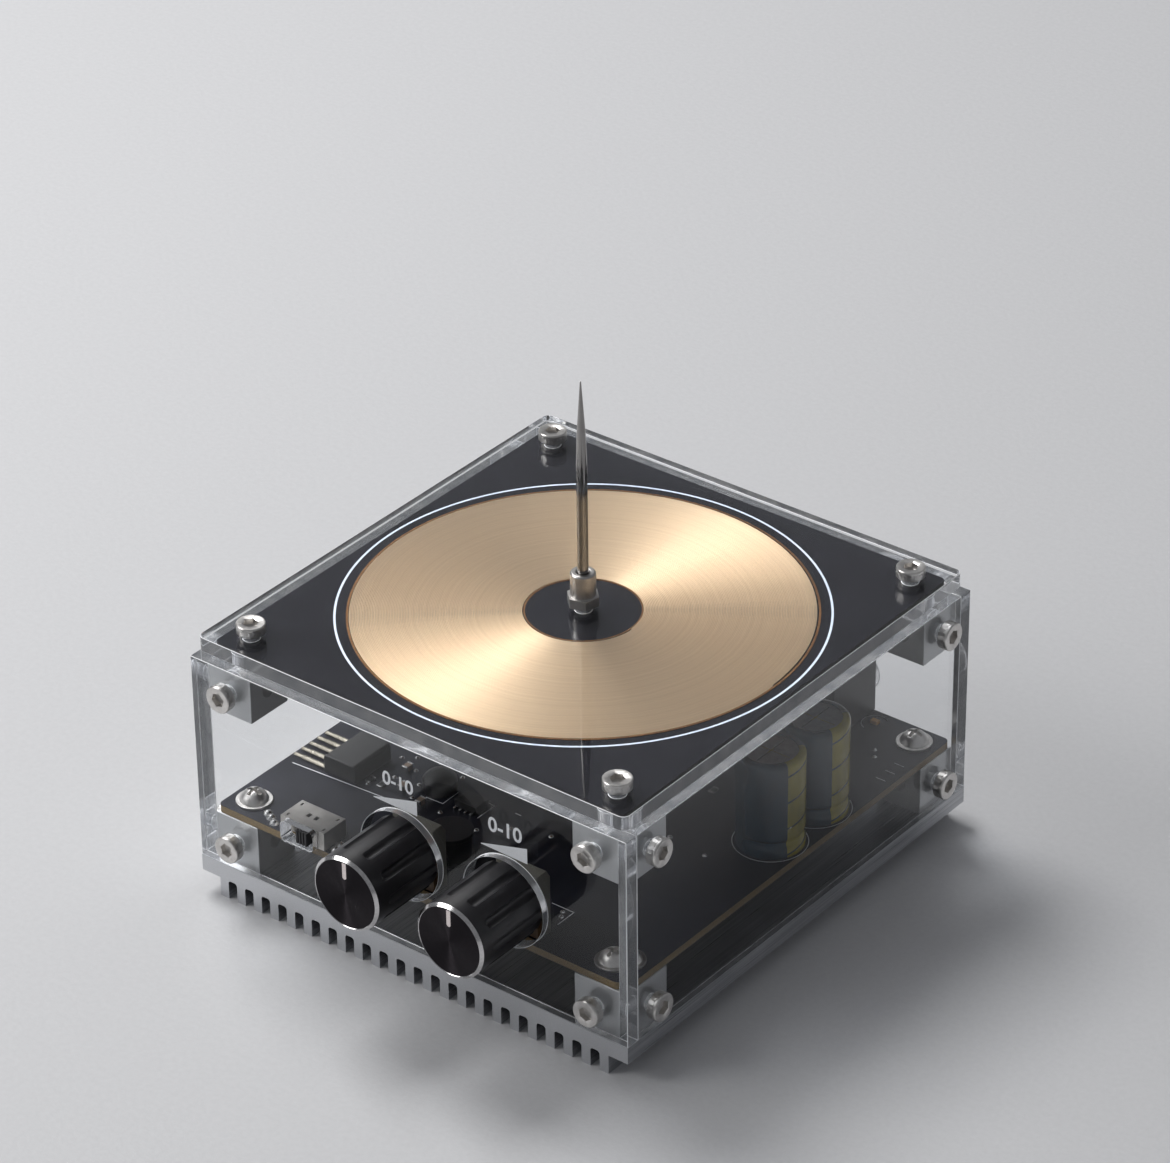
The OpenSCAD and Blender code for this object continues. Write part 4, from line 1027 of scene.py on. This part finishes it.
lump_profile = [(0.98, 0.0), (0.92, 0.12), (0.8, 0.34), (0.58, 0.55), (0.3, 0.68), (0.05, 0.72)]
big_lump = turned("lump", lump_profile, 24)
lump_places = on_board((-37.2, -45.6), (-35.8, -46.4), (-34.2, -47.4), (-19.9, -45.6), (-19.6, -47.2))
lumps = copies_of("switch_solder", big_lump, lump_places, solder)
piece("switch_solder", lumps, "solder", None)
small_lump = turned("joint", [(0.5, 0.0), (0.44, 0.08), (0.34, 0.2), (0.18, 0.29), (0.03, 0.32)], 16)
joint_places = on_board(
    (-29.5, -16.5), (-27.2, -14.8), (-24.6, -18.3), (-26.4, -22.4), (-22.3, -13.6), (-21.1, -21.6),
    (-19.4, -25.6), (-16.2, -14.9), (-29.0, -27.0), (-12.2, -26.3), (-3.2, -26.8), (1.6, -22.6),
    (25.4, -37.6), (26.2, -39.0), (9.0, -20.2), (16.3, -14.0), (24.6, -8.6), (33.2, -9.6),
    (28.8, 33.2), (37.6, 37.4), (38.9, 35.5)
)
joints = copies_of("small_solder_joints", small_lump, joint_places, solder)
piece("small_solder_joints", joints, "solder", None)

# %% [markdown]
# ## Power package and its leads
# The package is moulded in dark epoxy. Its five leads are tinned rods that step down to a narrower
# round tip, so one lead is a loft of ellipses along its length, and the tree sets out five.

# %% Package and leads
epoxy = worked(
    "dark_epoxy", (0.013, 0.013, 0.014), (0.021, 0.021, 0.022), (0.38, 0.50), 0.25, 0.003,
    Specular_IOR_Level=0.35
)
tinned = worked("tinned_lead", (0.42, 0.385, 0.32), (0.50, 0.46, 0.39), (0.22, 0.28), 1.2, 0.001, 1.0)
piece("power_package_moulded", eased("power_package", 0.2), "black_plastic", epoxy, "power_package")
lead_boxes = solids("package_leads")
low, high = lead_boxes[0]
lead_len, lead_w, lead_t = [(high - low)[i] / MM for i in range(3)]
print("lead", round(lead_len, 2), "x", round(lead_w, 2), "x", round(lead_t, 2), "mm")


def lead_section(along, width, height):
    """An ellipse across the lead, `along` millimetres out from the package."""
    ring = []
    for j in range(20):
        a = 2 * math.pi * j / 20
        ring.append(mm(-along, width / 2 * math.cos(a), lead_t * 0.5 + height / 2 * math.sin(a)))
    return ring


shoulder = lead_len * 0.72
# Distance from the package, share of the lead's width, share of its thickness.
lead_sections = [
    (0.0, 1.0, 1.0), (shoulder - 0.25, 1.0, 1.0), (shoulder, 0.8, 0.86), (shoulder + 0.3, 0.78, 0.84),
    (lead_len - 0.5, 0.82, 0.88), (lead_len - 0.16, 0.62, 0.66), (lead_len, 0.12, 0.15)
]
lead_rings = [lead_section(along, lead_w * wide, lead_t * thick) for along, wide, thick in lead_sections]
lead_places = [Vector((high.x, (low.y + high.y) / 2, low.z)) for low, high in lead_boxes]
leads = copies_of("package_leads_tinned", loft("lead", lead_rings, 60.0), lead_places, tinned)
piece("package_leads_tinned", leads, "solder", None, "package_leads")

# %% [markdown]
# ## Bulk capacitors
# Each is a drawn can in a shrink sleeve with a lighter stripe on the side of the minus lead. The
# sleeve follows the rolled groove near the foot and curls over the top edge. It is turned with a UV
# map round it, so that the stripe and its slanted dashes stay on it.

# %% Sleeve finish
can_metal = worked("drawn_can", (0.22, 0.22, 0.24), (0.32, 0.32, 0.34), (0.30, 0.42), 0.8, 0.002, 1.0)
# The stripe is measured in turns round the sleeve, its dashes in millimetres up it and in shares.
STRIPE_HALF, DASH_SLANT, DASH_STEP, DASH_HALF = 0.104, 9.0, 5.6, 0.035
sleeve = finish("teal_sleeve", (0.01, 0.03, 0.05), 0.15)
sleeve_map = add(sleeve, "ShaderNodeUVMap", uv_map="around")
around, rise = add(sleeve, "ShaderNodeSeparateXYZ", {0: sleeve_map}).outputs[:2]
plus, minus, times, over = sums(sleeve)
from_middle = calc(sleeve, "ABSOLUTE", minus(around, 0.5))
stripe = calc(sleeve, "LESS_THAN", from_middle, STRIPE_HALF)
slant = plus(rise, times(around, -DASH_SLANT))
beat = calc(sleeve, "FRACT", over(slant, DASH_STEP))
dash = calc(sleeve, "LESS_THAN", calc(sleeve, "ABSOLUTE", minus(beat, 0.5)), DASH_HALF)
bare = times(stripe, minus(1.0, dash))
cloud = grain(sleeve, 3.0, (1, 1, 4))
body_colour = blend_colour(sleeve, cloud, (0.001, 0.014, 0.032), (0.002, 0.034, 0.060))
stripe_colour = blend_colour(sleeve, cloud, (0.22, 0.185, 0.008), (0.36, 0.30, 0.02))
mixed = add(sleeve, "ShaderNodeMix", {"Factor": bare, 6: body_colour, 7: stripe_colour}, data_type="RGBA")
wire(sleeve, mixed.outputs[2], into(sleeve, "Base Color"))
haze(sleeve, cloud, 0.12, 0.2)

# %% Cans and sleeves
low, high = solids("capacitor_sleeves")[0]
CAP_R, CAP_H = (high.x - low.x) / 2 / MM, (high.z - low.z) / MM
STRIPE_TURN = 12.0
# The foot with its rolled groove and the curled top: distance inside the radius, and height.
foot = [
    (0.3, 0.0), (0.05, 0.1), (0.0, 0.3), (0.0, 1.75), (0.12, 2.15), (0.4, 2.6), (0.52, 3.0), (0.4, 3.4),
    (0.12, 3.85), (0.0, 4.25)
]
curl = [(0.12, -0.45), (0.42, -0.12), (0.85, 0.0), (1.45, 0.0), (1.5, -0.06), (1.5, -0.4)]
profile = [(CAP_R - inset, height) for inset, height in foot]
profile += [(CAP_R, 4.3 + (CAP_H - 5.3) * i / 8) for i in range(9)]
profile += [(CAP_R - inset, CAP_H + height) for inset, height in curl]
sleeve_part = turned("sleeve", profile, 96, 50.0, True)
sleeve_part.transform(Matrix.Rotation(math.radians(180.0 + STRIPE_TURN), 4, "Z"))
sleeves = copies_of("shrink_sleeves", sleeve_part, feet("capacitor_sleeves"), sleeve)
smooth(sleeves, 50.0)
piece("shrink_sleeves", sleeves, "sleeve_teal", None, "capacitor_sleeves")
piece("drawn_cans", eased("capacitor_cans", 0.1), "can_aluminium", can_metal, "capacitor_cans")
print("UV maps on the sleeves:", [layer.name for layer in sleeves.uv_layers])

# %% [markdown]
# ## Chips
# Chip capacitors and resistors are blocks of ceramic with a tinned cap at each end. The block and its
# caps are two parts, set out on the same points.

# %% Chip capacitors and resistors
ceramic = worked("brown_ceramic", (0.13, 0.085, 0.055), (0.21, 0.14, 0.09), (0.4, 0.5), 0.2, 0.004)
glaze = worked("black_glaze", (0.010, 0.010, 0.011), (0.020, 0.020, 0.021), (0.2, 0.3), 0.2, 0.003)


def blocks(name, boxes, edge):
    """Blocks given by their lowest and highest corners in millimetres, as one rounded mesh."""
    bm = bmesh.new()
    for low, high in boxes:
        size = [high[i] - low[i] for i in range(3)]
        middle = [(high[i] + low[i]) / 2 for i in range(3)]
        place = Matrix.Translation(mm(*middle)) @ Matrix.Diagonal((*[s * MM for s in size], 1.0))
        bmesh.ops.create_cube(bm, size=1.0, matrix=place)
    return rounded(name, mesh_of(bm, name), edge)


def chips(node, slot, material, cap_len):
    """The chips of one CAD node, with tinned ends along Y."""
    low, high = solids(node)[0]
    w, d, h = [(high - low)[i] / MM for i in range(3)]
    places = feet(node)
    low, high = (-w / 2 + 0.03, -d / 2 + 0.05, 0.03), (w / 2 - 0.03, d / 2 - 0.05, h - 0.03)
    body = blocks("chip", [(low, high)], 0.06)
    inner = d / 2 - cap_len
    ends = [((-w / 2, -d / 2, 0), (w / 2, -inner, h)), ((-w / 2, inner, 0), (w / 2, d / 2, h))]
    piece(node + "_bodies", copies_of(node + "_bodies", body, places, material), slot, None, node)
    caps = copies_of(node + "_ends", blocks("chip_end", ends, 0.08), places, solder)
    piece(node + "_ends", caps, slot, None, node)


chips("small_capacitors", "ceramic_brown", ceramic, 0.45)
chips("chip_resistors", "resistor_black", glaze, 0.38)

# %% [markdown]
# ## Parts that keep their CAD shape
# Mouldings, plated hardware and turned steel already have the right shape in CAD. They need broken
# edges and the finish of their own trade: plating, phenolic paper, black moulding, tinned sheet.

# %% Finishes of the small parts
nickel = worked("satin_nickel", (0.46, 0.445, 0.43), (0.56, 0.545, 0.53), (0.28, 0.38), 0.2, 0.001, 1.0)
polished = worked("polished_steel", (0.27, 0.26, 0.255), (0.33, 0.32, 0.31), (0.08, 0.11), 6.0, 0.0, 1.0)
brass = worked("turned_brass", (0.66, 0.50, 0.24), (0.78, 0.62, 0.34), (0.2, 0.3), 0.2, 0.003, 1.0)
copper = worked("dull_copper", (0.20, 0.10, 0.06), (0.30, 0.16, 0.10), (0.35, 0.45), 0.3, 0.003, 1.0)
tin = worked("tinned_sheet", (0.44, 0.42, 0.395), (0.50, 0.48, 0.455), (0.30, 0.38), 1.5, 0.0, 1.0)
pot_grey = worked("grey_moulding", (0.105, 0.100, 0.085), (0.15, 0.145, 0.125), (0.45, 0.6), 0.2, 0.006)
phenolic = worked("phenolic_paper", (0.07, 0.036, 0.013), (0.12, 0.065, 0.025), (0.4, 0.55), 0.3, 0.006)
black_plastic = worked("black_nylon", (0.006, 0.006, 0.007), (0.012, 0.012, 0.014), (0.32, 0.44), 0.3, 0.002)
lever_plastic = worked("lever_nylon", (0.013, 0.013, 0.015), (0.022, 0.022, 0.025), (0.4, 0.5), 0.3, 0.004)
amber = worked("amber_lens", (0.55, 0.28, 0.06), (0.75, 0.42, 0.12), (0.1, 0.2), 0.2, 0.002)
pad = worked("grey_pad", (0.34, 0.36, 0.38), (0.44, 0.46, 0.48), (0.6, 0.8), 0.2, 0.01)

# %% Parts of the case
fixed = {
    "primary_coil": (copper, 0.0, "copper_track"),
    "coil_posts": (brass, 0.2, "brass"),
    "needle_socket": (nickel, 0.12, "nickel"),
    "socket_nut": (nickel, 0.15, "nickel"),
    "board_screws": (screw_steel, 0.06, "screw_steel"),
    "board_washers": (screw_steel, 0.12, "washer_steel"),
    "board_solder": (solder, 0.1, "solder"),
    "power_pot_case": (pot_grey, 0.2, "pot_grey"),
    "frequency_pot_case": (pot_grey, 0.2, "pot_grey"),
    "power_pot_wafer": (phenolic, 0.12, "wafer_brown"),
    "frequency_pot_wafer": (phenolic, 0.12, "wafer_brown"),
    "power_pot_bushing": (nickel, 0.15, "nickel"),
    "frequency_pot_bushing": (nickel, 0.15, "nickel"),
    "pot_terminals": (solder, 0.08, "solder"),
    "switch_shell": (tin, 0.07, "switch_tin"),
    "switch_tray": (phenolic, 0.08, "tray_brown"),
    "power_jack": (black_plastic, 0.3, "black_plastic"),
    "jack_pin": (nickel, 0.1, "nickel"),
    "dome_inductor": (black_plastic, 0.1, "black_plastic"),
    "drum_choke": (black_plastic, 0.12, "black_plastic"),
    "driver_chip": (epoxy, 0.1, "black_plastic"),
    "chip_pins": (solder, 0.05, "solder"),
    "status_led": (amber, 0.1, "led_amber"),
    "transistors": (epoxy, 0.15, "black_plastic"),
    "transistor_tabs": (tin, 0.1, "tab_metal"),
    "transistor_pads": (pad, 0.05, "pad_grey"),
    "transistor_screws": (screw_steel, 0.06, "screw_steel"),
}
for node, (material, edge, slot) in fixed.items():
    piece(node + "_eased", eased(node, edge), slot, material, node)

# %% [markdown]
# The slots in the switch's sheet look black on the real one, because its inside lies in shade. A black
# sheet close under the top is that painted shade here, above the lever's carrier.

# %% Painted shade behind the switch's slots
low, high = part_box("switch_shell")
SHEET, SHADE_T = 0.3, 0.03
inside = SHEET + 0.05
top = high.z / MM - SHEET - 0.005
shade_box = (
    (low.x / MM + inside, low.y / MM + inside, top - SHADE_T),
    (high.x / MM - inside, high.y / MM - inside, top)
)
# The black sheet is painted shade: the switch's inside, seen through its slots.
piece("switch_shade", blocks("switch_shade", [shade_box], 0.0), "switch_tin", black_plastic)

# %% Parts that move
moving = {
    "power_shaft": ("power_knob", nickel, 0.1, "nickel"),
    "power_knob_insert": ("power_knob", black_plastic, 0.1, "black_plastic"),
    "frequency_shaft": ("frequency_knob", nickel, 0.1, "nickel"),
    "frequency_knob_insert": ("frequency_knob", black_plastic, 0.1, "black_plastic"),
    "switch_lever": ("switch_lever", lever_plastic, 0.08, "black_plastic"),
    "discharge_needle": ("needle", polished, 0.05, "polished_steel"),
}
for node, (body, material, edge, slot) in moving.items():
    piece(node + "_eased", eased(node, edge), slot, material, node, body=body)
